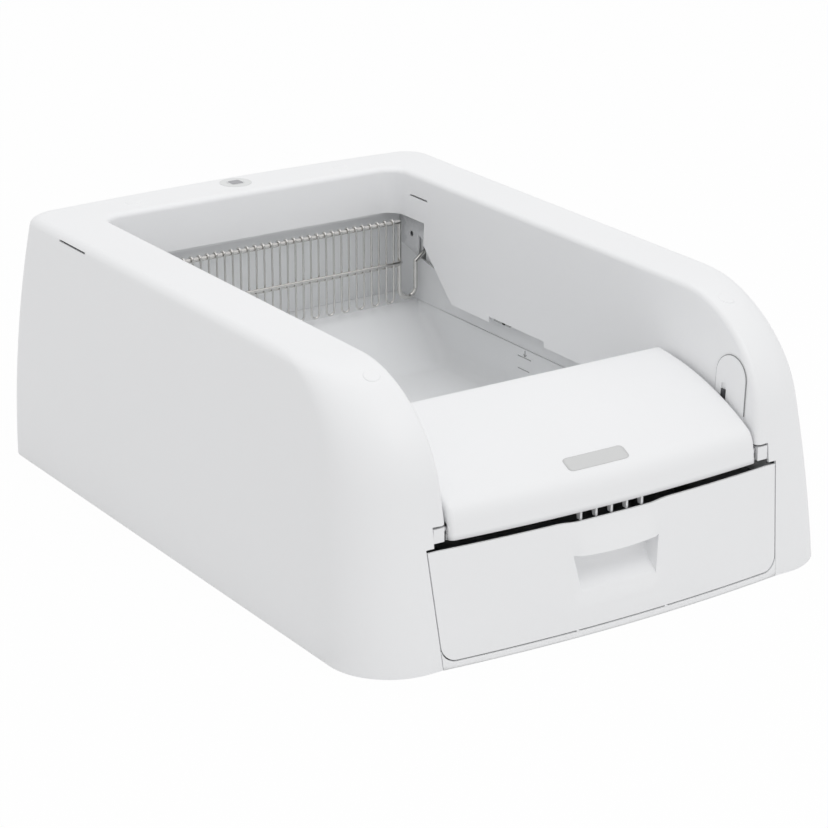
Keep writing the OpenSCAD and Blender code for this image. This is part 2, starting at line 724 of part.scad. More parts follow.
// Sensors behind the panels that see a cat in the box
sensor_z = panel_low + 2;
sensor_h = 16;
sensor_t = 7.4;
module cat_sensors() color("dimgray") pair() {
    x0 = opening_x(sensor_z + sensor_h) + panel_t + 0.3;
    difference() {
        box([x0, sensor_y - 6, sensor_z], [x0 + sensor_t, sensor_y - 6 + sensor_l, sensor_z + sensor_h]);
        rod_x(sensor_y + 4, sensor_z + 2.2, 1.6, x0 - 1, x0 + 6);
    }
}

// Wire rake: rails with side arms that pass under the panels, and looped tines welded to the rails' front
pitch = 2 * rake_half / (tine_count + 1);
loop_r = pitch / 2;
rake_top = case_h - rake_drop;
rake_mid = rake_top - rake_mid_drop;
arm_turn_z = tip_z + arm_r + arm_loop / 2 + 0.5;
arm_out = rake_half + arm_loop;
jog_z = swing_z - sqrt(pow(channel_out, 2) - pow(swing_half, 2)) + 1.5;
socket_x = rail_in + 5;
socket_top = swing_z - sqrt(pow(rail_r - 2, 2) - pow(swing_half, 2)) + 5;
mid_r = arm_r - 0.6;
weld_gap = 0.05;
tine_lap = 0.3;
tine_step = 0.02;
jog_rise = 12;
bend_r = arm_r + 0.03;
wall_r = norm([swing_half, swing_z - jog_z - jog_rise / 2]) + arm_r + 2;
module rake_frame() color("silver") translate([0, rake_y, 0]) {
    wire([-rake_half, 0, rake_top], [rake_half, 0, rake_top], arm_r);
    translate([0, mid_r - arm_r, 0]) wire([-rake_half, 0, rake_mid], [rake_half, 0, rake_mid], mid_r);
    pair() {
        translate([rake_half, 0, rake_top]) sphere(bend_r);
        wire([rake_half, 0, arm_turn_z], [rake_half, 0, rake_top], arm_r);
        translate([rake_half + arm_loop / 2, 0, arm_turn_z]) rotate([-90, 0, 0])
            rotate_extrude(angle = 180) translate([arm_loop / 2, 0]) circle(arm_r);
        wire([arm_out, 0, arm_turn_z], [arm_out, 0, jog_z], arm_r);
        translate([arm_out, 0, jog_z]) sphere(bend_r);
        wire([arm_out, 0, jog_z], [socket_x, 0, jog_z + jog_rise], arm_r);
        translate([socket_x, 0, jog_z + jog_rise]) sphere(bend_r);
        wire([socket_x, 0, jog_z + jog_rise], [socket_x, 0, socket_top], arm_r);
    }
}
module rake_tines() color("silver") translate([0, rake_y - arm_r - tine_r - weld_gap, 0])
    for (i = [0:tine_count / 2 - 1]) {
        x = (i - (tine_count / 2 - 1) / 2) * 2 * pitch;
        for (s = [-1, 1])
            translate([x + s * loop_r, 0, tip_z + tine_r + loop_r - tine_lap])
                cylinder(r = tine_r - tine_step, h = rake_top + arm_r - tip_z - tine_r - loop_r + tine_lap);
        translate([x, 0, tip_z + tine_r + loop_r]) rotate([-90, 0, 0])
            rotate_extrude(angle = 180) translate([loop_r, 0]) circle(tine_r);
    }

// Carriage: two shoes that run in the channel, a socket for the side arm and a clamp on the belt's upper run
shoe_w = 3;
core_half = 9;
jaw_t = 3;
module carriage() {
    slot = belt_t / 2 + run_gap;
    upper = rail_r - pulley_r;
    difference() {
        swing_ring(park_a - carriage_a / 2, park_a + carriage_a / 2) {
            section(channel_in + run_gap, channel_out - run_gap, rail_in + 1, rail_in + 1 + shoe_w);
            section(upper + slot, rail_r + core_half, rail_in + 1, web_x - run_gap);
            section(upper - slot - jaw_t, upper - slot, rail_in + 1, web_x - run_gap);
        }
        translate([socket_x, rake_y, jog_z - 20]) cylinder(r = arm_r + pin_gap, h = socket_top - jog_z + 20.1);
        translate([socket_x, rake_y, jog_z + jog_rise]) sphere(arm_r + 0.3);
        translate([arm_out - 2, rake_y - arm_r - 0.3, jog_z - 20])
            cube([socket_x - arm_out + 2, 2 * arm_r + 0.6, 20 + jog_rise + 2]);
    }
}
module carriage_right() color("dimgray") carriage();
module carriage_left() color("dimgray") mirror([1, 0, 0]) carriage();

// Block in the front notch that holds the lid's hinge pin, standing on the side wall of the base
block_in = 174.5;
block_out = tray_half + 5;
block_low = hinge_z - 9.5;
block_h = 13;
module hinge_block() difference() {
    union() {
        box([block_in, hinge_y - 6, block_low], [notch_x - 0.8, hinge_y + 14, block_low + block_h]);
        box([block_in, hinge_y + 4, block_low], [block_out, hinge_y + 14, block_low + block_h]);
        box([tray_half, hinge_y + 4, tray_rim + 0.2], [block_out, hinge_y + 14, block_low + 1]);
    }
    rod_x(hinge_y, hinge_z, hinge_pin_r + pin_gap, block_in - 1, block_in + 12);
}
module hinge_block_right() color("lightgray") hinge_block();
module hinge_block_left() color("lightgray") mirror([1, 0, 0]) hinge_block();

// Arch-shaped plates on the inner walls of the arms, with a slot for the lid's catch
module on_panel(z) translate([opening_x(z), 0, z]) rotate([0, panel_tilt, 0]) translate([0, 0, -z]) children();
module arch_plates() color("white") pair() on_panel(catch_z) difference() {
    along_x(-arch_t - 0.1, -0.1) {
        translate([arch_y, arch_top - arch_r]) circle(arch_r);
        translate([arch_y - arch_r, panel_low + 2]) square([2 * arch_r, arch_top - arch_r - panel_low - 2]);
    }
    box([-5, arch_slot_y - arch_slot / 2, arch_slot_low], [5, arch_slot_y + arch_slot / 2, arch_slot_top]);
}
module lid_catches() color("gray") pair() on_panel(catch_z) {
    box([-arch_t - 0.8, arch_slot_y - arch_slot / 2 + 0.6, arch_slot_low + 6],
        [panel_t + 1, arch_slot_y + arch_slot / 2 - 0.6, catch_z + 6]);
    box([panel_t + 0.3, arch_slot_y - catch_l / 2, catch_z - catch_h / 2],
        [panel_t + 0.3 + catch_back_t, arch_slot_y + catch_l / 2, catch_z + catch_h / 2]);
}

// Waste lid: a crowned shell that bows forward to the drawer's front, with skirts at its sides and rear
lid_crown = 78;
lid_nose = 14;
function lid_line() = concat(
    bezier([lid_rear_y, lid_rear_z], [lid_rear_y - lid_crown, lid_rear_z - 6], [lip_y + lid_nose, lid_front_z], 8),
    [for (i = [1:6]) bezier(
        [lip_y + lid_nose, lid_front_z], [lip_y + 4, lid_front_z - 5], [lip_y + 2, lid_lip_z + lid_nose], 6
    )[i]],
    [[lip_y, lid_lip_z]]
);
function lid_normal(l, i) =
    let (d = l[min(i + 1, len(l) - 1)] - l[max(i - 1, 0)]) [-d.y, d.x] / norm(d);
function lid_inner() = let (l = lid_line()) [for (i = [len(l) - 1:-1:0]) l[i] + lid_t * lid_normal(l, i)];
function lid_section(x) = [for (p = concat(lid_line(), lid_inner()))
    let (w = (lid_rear_y - p.x) / lid_l) [x, p.x - bow_at(x) * max(0, w) * max(0, w), p.y]];
LID_STEPS = 10;
rib_count = 5;
rib_pitch = 17;
rib_t = 2.5;
boss_r = 6;
boss_l = 10;
skirt_in = 0.4;
module waste_lid() color("white") difference() {
    union() {
        ring_loft([for (i = [0:LID_STEPS]) lid_section(lid_half * (2 * i / LID_STEPS - 1))], thin = true);
        pair() {
            along_x(lid_half - lid_t, lid_half - skirt_in) polygon(concat(
                [for (p = lid_line()) p + [skirt_in, -skirt_in]],
                [[lid_rear_y - skirt_in, lid_skirt_z]]
            ));
            rod_x(hinge_y, hinge_z, boss_r, lid_half - boss_l, lid_half);
        }
        box([skirt_in * 2 - lid_half, lid_rear_y - lid_t - skirt_in * 2, lid_skirt_z],
            [lid_half - skirt_in * 2, lid_rear_y - skirt_in * 2, lid_rear_z - lid_t / 2]);
        for (i = [0:rib_count - 1]) {
            x = (i - (rib_count - 1) / 2) * rib_pitch;
            box([x - rib_t / 2, lip_y - front_bow + 4, lid_lip_z - 6],
                [x + rib_t / 2, lip_y - front_bow + 10, lid_lip_z + 8]);
            box([x - rib_t / 2, lip_y - front_bow + 1.2, lid_lip_z + 1],
                [x + rib_t / 2, lip_y - front_bow + 10, lid_lip_z + 8]);
        }
    }
    pair() rod_x(hinge_y, hinge_z, hinge_pin_r + 0.02, lid_half - boss_l - 1, lid_half + 1);
}
module lid_hinge_pins() color("silver") pair()
    rod_x(hinge_y, hinge_z, hinge_pin_r, lid_half - boss_l, block_in + 11);

// Front of the drawer: a leaning, bowed panel with round lower corners and a dip over the handle
module drawer_outline(g) {
    corner_x = drawer_x(drawer_corner_r) - drawer_corner_r;
    corner_z = drawer_low + drawer_corner_r;
    polygon(concat(
        [[-drawer_top_half - g, drawer_top]],
        arc([-corner_x, corner_z], drawer_corner_r + g, 180, 270, 8),
        arc([corner_x, corner_z], drawer_corner_r + g, 270, 360, 8),
        [[drawer_top_half + g, drawer_top]]
    ));
}
module drawer_face() difference() {
    drawer_outline(0);
    translate([-handle_half, drawer_top - dip]) square([2 * handle_half, 20]);
}
cup_t = 2;
module handle_hole(g) translate([-handle_half - g, recess_low - g])
    square([2 * (handle_half + g), recess_top - recess_low + 2 * g]);
module drawer_front() color("white") difference() {
    intersection() {
        difference() {
            front_block(0, 0, shoulder_z, FAR / 2, sweep_y);
            front_block(drawer_t, -1, shoulder_z + 1, FAR / 2 + 1, sweep_y + 1);
        }
        along_y(-FAR, 0) drawer_face();
    }
    along_y(-FAR, 0) handle_hole(cup_t + plug_gap);
}

// Handle: a proud plate over a finger recess
plate_gap = 0.05;
recess_y = seam_y + front_lean * recess_top - front_bow + recess_d;
module drawer_handle() color("white") {
    difference() {
        intersection() {
            front_block(0, 0, shoulder_z, FAR / 2, recess_y + cup_t);
            along_y(-FAR, 0) handle_hole(cup_t);
        }
        along_y(-FAR, recess_y) handle_hole(0);
    }
    intersection() {
        difference() {
            front_block(-handle_proud, 0, shoulder_z, FAR / 2, sweep_y);
            front_block(-plate_gap, -1, shoulder_z + 1, FAR / 2 + 1, sweep_y + 1);
        }
        along_y(-FAR, 0) difference() {
            translate([-handle_half, recess_top - 2]) square([2 * handle_half, drawer_top - dip - recess_top + 2]);
            translate([0, recess_top - 2 - 4 * handle_half]) circle(4 * handle_half + 1, $fn = ARC_FN);
        }
    }
    intersection() {
        difference() {
            front_block(-handle_proud, 0, shoulder_z, FAR / 2, sweep_y);
            front_block(1, -1, shoulder_z + 1, FAR / 2 + 1, sweep_y + 1);
        }
        along_y(-FAR, 0) translate([-handle_half, recess_top]) square([2 * handle_half, cup_t]);
    }
}

// Bin of the drawer
bin_half = 184;
bin_step = 0.7;
bin_rear = crest_y - 8;
module bin_block(t, high) intersection() {
    front_block(drawer_t + 0.3 + t, 0, shoulder_z, bin_half - t, bin_rear - t);
    along_y(-FAR, 0) drawer_outline(-bin_step - t);
    box([-FAR, -FAR, 0], [FAR, FAR, high]);
}
module drawer_bin() color("gainsboro") difference() {
    bin_block(0, bin_top);
    bin_block(bin_t, bin_top + 5);
    along_y(-FAR, recess_y + cup_t + 0.5) handle_hole(cup_t + 0.3);
}

base_tray();
rubber_feet();
frame_shell();
rim_plugs();
frame_screws();
rear_liner();
rail_left();
rail_right();
belt_left();
belt_right();
gearbox_case();
drive_motor();
drive_shaft();
drive_pulley_left();
drive_pulley_right();
control_board();
start_button();
button_bezel();
dc_inlet();
end_switches();
cat_sensors();
rake_frame();
rake_tines();
carriage_left();
carriage_right();
hinge_block_left();
hinge_block_right();
arch_plates();
lid_catches();
waste_lid();
lid_hinge_pins();
drawer_front();
drawer_handle();
drawer_bin();
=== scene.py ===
"""Looks of a self-cleaning litter box: white casing, grey tray, wire rake, waste lid and drawer."""

import math

import bmesh
import bpy
from mathutils import Matrix, Vector


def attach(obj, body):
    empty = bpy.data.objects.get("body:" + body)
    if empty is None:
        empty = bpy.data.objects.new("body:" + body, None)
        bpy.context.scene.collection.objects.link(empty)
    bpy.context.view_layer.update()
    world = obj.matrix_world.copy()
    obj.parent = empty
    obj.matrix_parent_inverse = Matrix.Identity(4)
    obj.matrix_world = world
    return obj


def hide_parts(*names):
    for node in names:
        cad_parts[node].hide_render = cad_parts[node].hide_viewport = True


# Camera: a long lens in front of the box, to its left and a little above.
# It is made first, because the light is set for this view.
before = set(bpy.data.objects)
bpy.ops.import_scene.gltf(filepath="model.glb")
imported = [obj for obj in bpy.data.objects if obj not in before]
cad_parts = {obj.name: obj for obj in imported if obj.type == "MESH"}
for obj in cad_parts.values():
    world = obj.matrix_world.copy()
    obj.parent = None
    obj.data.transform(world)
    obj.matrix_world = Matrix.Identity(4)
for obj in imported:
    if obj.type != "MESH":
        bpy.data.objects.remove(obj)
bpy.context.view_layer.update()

CAMERA_PLACE = (-1.4273, -2.1853, 1.0559)
CAMERA_AZIMUTH = math.radians(-33.36)
CAMERA_ELEVATION = math.radians(20.26)
SENSOR_WIDTH = 36.0
FOCAL_LENGTH = 122.55

scene = bpy.context.scene
scene.view_settings.view_transform = "Standard"
camera = bpy.data.objects.new("camera", bpy.data.cameras.new("camera"))
camera.data.sensor_width = SENSOR_WIDTH
camera.data.lens = FOCAL_LENGTH
camera.data.clip_end = 50.0
camera.location = CAMERA_PLACE
camera.rotation_euler = (math.pi / 2 - CAMERA_ELEVATION, 0.0, CAMERA_AZIMUTH)
scene.collection.objects.link(camera)
scene.camera = camera


# Casing: the white outer shell, one injection moulding with drafted walls, a round rim and two arms that
# curve down at the front. Its inner panels hang from the rim and hide the rake's rails.
class Wire:
    """An output of a shader tree. Arithmetic on it adds Math nodes."""

    def __init__(self, tree, socket=None):
        self.tree = tree
        self.socket = socket

    def node(self, kind, settings, inputs, output=0):
        """Adds a node with these settings, and these values or links in its sockets."""
        made = self.tree.nodes.new(kind)
        for name, value in settings.items():
            setattr(made, name, value)
        for name, value in inputs.items():
            if isinstance(value, Wire):
                self.tree.links.new(value.socket, made.inputs[name])
            else:
                made.inputs[name].default_value = value
        return Wire(self.tree, made.outputs[output] if made.outputs else None)

    def calculate(self, operation, first, second):
        return self.node("ShaderNodeMath", {"operation": operation}, {0: first, 1: second})

    def blend(self, first, second):
        """A colour between two, by this wire's value. Sockets 6 and 7 of a Mix node are its colours."""
        inputs = {0: self, 6: (*first, 1.0), 7: (*second, 1.0)}
        return self.node("ShaderNodeMix", {"data_type": "RGBA"}, inputs, 2)

    def __add__(self, other):
        return self.calculate("ADD", self, other)

    def __sub__(self, other):
        return self.calculate("SUBTRACT", self, other)

    def __rsub__(self, other):
        return self.calculate("SUBTRACT", other, self)

    def __mul__(self, other):
        return self.calculate("MULTIPLY", self, other)

    __radd__ = __add__
    __rmul__ = __mul__


def finish(name):
    """A material with an empty tree, and a wire to start its nodes from."""
    material = bpy.data.materials.new(name)
    material.use_nodes = True
    material.node_tree.nodes.clear()
    return material, Wire(material.node_tree)


def surface(tree, **sockets):
    """Ends a tree in a Principled surface with these sockets."""
    inputs = {name.replace("_", " "): value for name, value in sockets.items()}
    shader = tree.node("ShaderNodeBsdfPrincipled", {}, inputs)
    tree.node("ShaderNodeOutputMaterial", {}, {"Surface": shader})


def moulded_plastic(name, colour, roughness, grain=1600.0, depth=0.00004):
    """Moulded plastic: a spark-eroded grain, faint clouds in the colour and slightly smoother patches."""
    material, tree = finish(name)
    place = tree.node("ShaderNodeTexCoord", {}, {}, "Object")
    pit_inputs = {"Vector": place, "Scale": grain, "Detail": 2.0, "Roughness": 0.6}
    pits = tree.node("ShaderNodeTexNoise", {}, pit_inputs)
    clouds = tree.node("ShaderNodeTexNoise", {}, {"Vector": place, "Scale": 9.0, "Detail": 3.0})
    tint = clouds.blend([c * 0.985 for c in colour], [min(1.0, c * 1.01) for c in colour])
    bump = tree.node("ShaderNodeBump", {}, {"Height": pits, "Strength": 0.6, "Distance": depth})
    surface(
        tree,
        Base_Color=tint,
        Roughness=roughness - 0.06 + 0.08 * clouds + 0.06 * pits,
        Normal=bump,
        Specular_IOR_Level=0.45,
    )
    return material


WHITE = (0.875, 0.88, 0.89)
white_plastic = moulded_plastic("white_plastic", WHITE, 0.44)

CASE_HEIGHT = 0.253
CASE_HALF_WIDTH = 0.265
CASE_REAR = 0.358
CASE_WALL = 0.0028
CASE_SOFT = 0.0006
FLOOR_GAP = 0.0005
FRONT_SEAM = -0.348
FRONT_LEAN = 0.142
FRONT_BOW = 0.010
BOW_HALF = 0.186
SIDE_LEAN = 0.026
REAR_LEAN = 0.004
REAR_BOW = 0.008
FRONT_CORNER = 0.062
REAR_CORNER = 0.026
RIM_EDGE = 0.009
INNER_EDGE = 0.0055
SHOULDER_START = 0.160
SHOULDER_RUN = 0.103
OPENING_LOW = 0.1725
OPENING_TOP = 0.178
OPENING_REAR = 0.289
OPENING_CORNER = 0.020
PANEL_LOW = 0.128
NOTCH_EDGE = 0.1866
NOTCH_LOW = 0.1095
BAY_GAP = 0.0012
DRAWER_LOW_HALF = 0.186
DRAWER_TOP_HALF = 0.1935
DRAWER_TOP = 0.1065


def drawn_in(z, radius):
    """How far a round edge of the rim has drawn in at this height."""
    up = z - CASE_HEIGHT + radius
    return radius - math.sqrt(max(0.0, radius**2 - up**2)) if up > 0 else 0.0


def side_at(z):
    return CASE_HALF_WIDTH - SIDE_LEAN * (z / CASE_HEIGHT) ** 2 - drawn_in(z, RIM_EDGE)


def rear_at(z):
    return CASE_REAR - REAR_LEAN * (z / CASE_HEIGHT) ** 2 - drawn_in(z, RIM_EDGE)


def front_at(z):
    rise = max(0.0, (z - SHOULDER_START) / (CASE_HEIGHT - SHOULDER_START))
    return FRONT_SEAM + FRONT_LEAN * z + SHOULDER_RUN * (1.0 - math.sqrt(max(0.0, 1.0 - rise**2)))


def bow_at(x):
    return FRONT_BOW * max(0.0, 1.0 - (x / BOW_HALF) ** 2)


def front_line(x, z):
    """The front of the casing's outline at this height, straight and bowed, then round the corner."""
    into_corner = x - side_at(z) + FRONT_CORNER
    if into_corner <= 0:
        return front_at(z) - bow_at(x)
    return front_at(z) + FRONT_CORNER - math.sqrt(max(0.0, FRONT_CORNER**2 - into_corner**2))


def opening_x(z):
    slope = (OPENING_TOP - OPENING_LOW) / (CASE_HEIGHT - PANEL_LOW)
    return OPENING_LOW + slope * (z - PANEL_LOW) + drawn_in(z, INNER_EDGE)


def drawer_half(z):
    """Half the width of the drawer's front at this height."""
    return DRAWER_LOW_HALF + (DRAWER_TOP_HALF - DRAWER_LOW_HALF) * z / DRAWER_TOP


def bay_edge(z):
    """Edge of the drawer's bay in the casing's front."""
    return drawer_half(z) + BAY_GAP


def straight(start, end, count):
    return [Vector(start).lerp(Vector(end), i / count) for i in range(1, count + 1)]


def round_corner(centre, radius, first, last, count):
    angles = [first + (last - first) * i / count for i in range(1, count + 1)]
    return [Vector((centre[0] + radius * math.cos(a), centre[1] + radius * math.sin(a))) for a in angles]


def evened(points, count):
    """The same line with points at equal steps along it."""
    lengths = [0.0]
    for a, b in zip(points, points[1:]):
        lengths.append(lengths[-1] + (b - a).length)
    line = []
    k = 0
    for i in range(count + 1):
        want = lengths[-1] * i / count
        while k < len(points) - 2 and lengths[k + 1] < want:
            k += 1
        line.append(points[k].lerp(points[k + 1], (want - lengths[k]) / (lengths[k + 1] - lengths[k])))
    return line


EDGE_STEPS = 6
EDGE_SPREAD = 0.0003
STRIP_STEPS = 3
FRONT_STEPS = 20
FRONT_TRACE = 12
CORNER_TRACE = 40
SIDE_STEPS = 24
CORNER_STEPS = 10
REAR_STEPS = 14
HALVINGS = 40
SLACK = 1e-6
CUT_SLACK = 1e-7


def arm_lean(z):
    """How much the shoulder runs to the rear as it rises."""
    step = 0.00001
    return (front_at(z + step) - front_at(z - step)) / (2 * step)


def arm_edge(z):
    """The round inner edge of the arm at this height, from the panel to the front.

    Its shape is what a ball leaves that rolls along the shoulder."""
    low = opening_x(z) - drawn_in(z, INNER_EDGE)
    first = math.asin(1 - drawn_in(z, INNER_EDGE) / INNER_EDGE)
    line = []
    for i in range(EDGE_STEPS + 1):
        turn = first * (1 - i / EDGE_STEPS)
        depth = INNER_EDGE * (1 - math.cos(turn))
        under, over = z, CASE_HEIGHT
        for _ in range(HALVINGS):
            middle = (under + over) / 2
            if middle - depth * arm_lean(middle) / math.hypot(1.0, arm_lean(middle)) < z:
                under = middle
            else:
                over = middle
        x = low + INNER_EDGE * (1 - math.sin(turn)) + EDGE_SPREAD * i / EDGE_STEPS
        y = front_line(low + INNER_EDGE, under) + depth / math.hypot(1.0, arm_lean(under))
        line.append(Vector((x, y)))
    return line


def casing_line(z):
    """Right half of the casing's outline as far as the drawer's bay: inner panel and arm's end.

    Also says which of its points are the edges of the hinge notch and of the bay."""
    x, rear = opening_x(z), OPENING_REAR + drawn_in(z, INNER_EDGE)
    corner = arm_edge(z)
    turn_y = corner.pop(0).y
    centre = (x - OPENING_CORNER, rear - OPENING_CORNER)
    line = [Vector((0.0, rear))] + straight((0.0, rear), (centre[0], rear), CORNER_STEPS)
    line += round_corner(centre, OPENING_CORNER, math.pi / 2, 0.0, CORNER_STEPS)
    line += straight((x, centre[1]), (x, turn_y), SIDE_STEPS)
    line += corner
    arm = corner[-1].x
    strip = [arm + (NOTCH_EDGE - arm) * i / STRIP_STEPS for i in range(1, STRIP_STEPS + 1)]
    step = max(bay_edge(NOTCH_LOW), NOTCH_EDGE)
    strip += [NOTCH_EDGE + (step - NOTCH_EDGE) * i / 2 for i in (1, 2)]
    line += [Vector((s, front_line(s, z))) for s in strip]
    return line, len(line) - 3, len(line) - 1


def outside_line(start, z):
    """The outside from a place on the front, round the corners to the middle of the rear."""
    side, front, rear = side_at(z), front_at(z), rear_at(z)
    corner_x = side - FRONT_CORNER
    line = [Vector((start, front_line(start, z)))]
    if start < corner_x:
        trace = straight((start, 0), (corner_x, 0), FRONT_TRACE)
        line += [Vector((s.x, front_line(s.x, z))) for s in trace]
    first = -math.acos(max(0.0, min(1.0, (start - corner_x) / FRONT_CORNER)))
    line += round_corner((corner_x, front + FRONT_CORNER), FRONT_CORNER, first, 0.0, CORNER_TRACE)
    line = evened(line, FRONT_STEPS)
    turn = rear - REAR_BOW - REAR_CORNER
    line += straight((side, front + FRONT_CORNER), (side, turn), SIDE_STEPS)
    line += round_corner((side - REAR_CORNER, turn), REAR_CORNER, 0.0, math.pi / 2, CORNER_STEPS)
    rear_half = side - REAR_CORNER
    for i in range(1, REAR_STEPS + 1):
        share = 1 - i / REAR_STEPS
        line.append(Vector((rear_half * share, rear - REAR_BOW * share * share)))
    return line[1:]


def casing_row(bm, z):
    """One level of the casing, from the rear middle of the panels to the rear middle outside.

    Gives its edges with their places, and how many points the bay and the hinge notch cut away."""
    line, notch, bay = casing_line(z)
    start = line[bay].x
    skip = notch if z < PANEL_LOW - SLACK else 0
    if z < NOTCH_LOW - SLACK:
        start = bay_edge(z)
        line[bay] = Vector((start, front_line(start, z)))
        skip = bay
    line += outside_line(start, z)
    right = [None] * skip + [bm.verts.new((p.x, p.y, z)) for p in line[skip:]]
    left = [None] * skip + [bm.verts.new((-p.x, p.y, z)) for p in line[skip:-1]] + [right[-1]]
    if skip == 0:
        bm.verts.remove(left[0])
        left[0] = right[0]
    edges = []
    for half in (right, left):
        for i in range(skip, len(line) - 1):
            edges.append((i, bm.edges.new((half[i], half[i + 1]))))
    return edges, skip


def cut(bm, faces, place, direction):
    """Cuts these faces along a plane."""
    parts = set(faces)
    for face in faces:
        parts.update(face.edges)
        parts.update(face.verts)
    bmesh.ops.bisect_plane(bm, geom=list(parts), plane_co=place, plane_no=direction, dist=CUT_SLACK)


def ring_cut(bm, near, centre, across, up, radius, sides):
    """Cuts the faces near a round hole along the sides of its outline."""
    for k in range(sides):
        turn = 2 * math.pi * k / sides
        direction = math.cos(turn) * Vector(across) + math.sin(turn) * Vector(up)
        cut(bm, [f for f in bm.faces if near(f)], Vector(centre) + radius * direction, direction)


def piece(name, bm, material, body, replaced=()):
    """Makes a bmesh an object that rides on a body and takes the place of CAD nodes."""
    mesh = bpy.data.meshes.new(name)
    bm.to_mesh(mesh)
    bm.free()
    made = bpy.data.objects.new(name, mesh)
    scene.collection.objects.link(made)
    mesh.materials.append(material)
    for polygon in mesh.polygons:
        polygon.use_smooth = True
    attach(made, body)
    if replaced:
        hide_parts(*replaced)
    return made


def thicken(made, wall):
    made.modifiers.new("wall", "SOLIDIFY").thickness = wall
    made.modifiers["wall"].offset = -1.0


def soften(made, width, angle=40.0, segments=2):
    """Rounds the sharp edges of a piece."""
    bevel = made.modifiers.new("edges", "BEVEL")
    bevel.width = width
    bevel.segments = segments
    bevel.limit_method = "ANGLE"
    bevel.angle_limit = math.radians(angle)
    bevel.harden_normals = True


WALL_LEVELS = [FLOOR_GAP, 0.02, 0.04, 0.06, 0.08, 0.096, NOTCH_LOW, 0.119, PANEL_LOW, 0.140, 0.151]
SHOULDER_RISE = CASE_HEIGHT - SHOULDER_START
SHOULDER_LEVELS = [SHOULDER_START + SHOULDER_RISE * math.sin(math.radians(a)) for a in range(0, 65, 5)]
RIM_LEVELS = [CASE_HEIGHT - RIM_EDGE * (1 - math.sin(math.radians(a))) for a in range(8, 91, 6)]
RIM_LEVELS += [CASE_HEIGHT]

casing = bmesh.new()
below, skipped = casing_row(casing, WALL_LEVELS[0])
for level in WALL_LEVELS[1:] + SHOULDER_LEVELS + RIM_LEVELS:
    above, skip = casing_row(casing, level)
    shared = [e for i, e in below if i >= skipped] + [e for i, e in above if i >= skipped]
    bmesh.ops.bridge_loops(casing, edges=shared)
    below, skipped = above, skip
bmesh.ops.triangle_fill(casing, edges=[e for _, e in below], use_beauty=True)
bmesh.ops.recalc_face_normals(casing, faces=casing.faces)

# Lower edge of the inner panels, with the cut-away for the rake's arm and the notch for the sensor, and the
# narrow slots in the panels and in the outer walls
CUT_REAR = 0.230
CUT_FRONT = 0.172
CUT_TOP = 0.203
CUT_KNEE = 0.179
SENSOR_NOTCH = (0.005, 0.103)
SENSOR_NOTCH_TOP = 0.134
PANEL_REAR = OPENING_REAR + 0.012
PANEL_TOP = 0.2485
PANEL_REACH = 0.1795
ARM_X = 0.170
ARM_END = 0.020


def on_panel(face):
    """Whether a face belongs to the inner panels, away from the arms' ends and the rim."""
    place = face.calc_center_median()
    if place.y > PANEL_REAR or place.z > PANEL_TOP:
        return False
    return abs(place.x) < PANEL_REACH and place.y > front_line(ARM_X, place.z) + ARM_END


def under_panel(place):
    """Whether a point lies below the panels' lower edge."""
    if place.y > CUT_REAR:
        return place.z < CUT_TOP
    if place.y > CUT_FRONT:
        return place.z < PANEL_LOW + (CUT_KNEE - PANEL_LOW) * (place.y - CUT_FRONT) / (CUT_REAR - CUT_FRONT)
    return SENSOR_NOTCH[0] < place.y < SENSOR_NOTCH[1] and place.z < SENSOR_NOTCH_TOP


SLOT_HEIGHT = 0.002
PANEL_SLOT = (0.226, 0.259)
PANEL_SLOT_LOW = 0.227
OUTER_SLOT = (0.205, 0.261)
OUTER_SLOT_LOW = 0.2445
OUTER_FIELD_X = 0.200
OUTER_FIELD_Y = (0.180, 0.290)
OUTER_FIELD_Z = (0.235, 0.2515)

panel_cuts = [((0, CUT_REAR, 0), (0, 1, 0))]
panel_cuts += [((0, 0, z), (0, 0, 1)) for z in (CUT_TOP, SENSOR_NOTCH_TOP)]
panel_cuts += [((0, y, 0), (0, 1, 0)) for y in SENSOR_NOTCH + PANEL_SLOT]
panel_cuts += [((0, CUT_FRONT, PANEL_LOW), (0, PANEL_LOW - CUT_KNEE, CUT_REAR - CUT_FRONT))]
panel_cuts += [((0, 0, PANEL_SLOT_LOW + h), (0, 0, 1)) for h in (0, SLOT_HEIGHT)]
for place, direction in panel_cuts:
    cut(casing, [f for f in casing.faces if on_panel(f)], place, direction)


def in_panel_slot(place):
    return PANEL_SLOT[0] < place.y < PANEL_SLOT[1] and 0 < place.z - PANEL_SLOT_LOW < SLOT_HEIGHT


doomed = [f for f in casing.faces if on_panel(f)]
doomed = [f for f in doomed if under_panel(f.calc_center_median()) or in_panel_slot(f.calc_center_median())]
bmesh.ops.delete(casing, geom=doomed, context="FACES")


def near_outer_slot(face):
    place = face.calc_center_median()
    if abs(place.x) <= OUTER_FIELD_X:
        return False
    return OUTER_FIELD_Y[0] < place.y < OUTER_FIELD_Y[1] and OUTER_FIELD_Z[0] < place.z < OUTER_FIELD_Z[1]


outer_cuts = [((0, y, 0), (0, 1, 0)) for y in OUTER_SLOT]
outer_cuts += [((0, 0, OUTER_SLOT_LOW + h), (0, 0, 1)) for h in (0, SLOT_HEIGHT)]
for place, direction in outer_cuts:
    cut(casing, [f for f in casing.faces if near_outer_slot(f)], place, direction)
doomed = [f for f in casing.faces if near_outer_slot(f)]
doomed = [f for f in doomed if OUTER_SLOT[0] < f.calc_center_median().y < OUTER_SLOT[1]]
doomed = [f for f in doomed if 0 < f.calc_center_median().z - OUTER_SLOT_LOW < SLOT_HEIGHT]
bmesh.ops.delete(casing, geom=doomed, context="FACES")

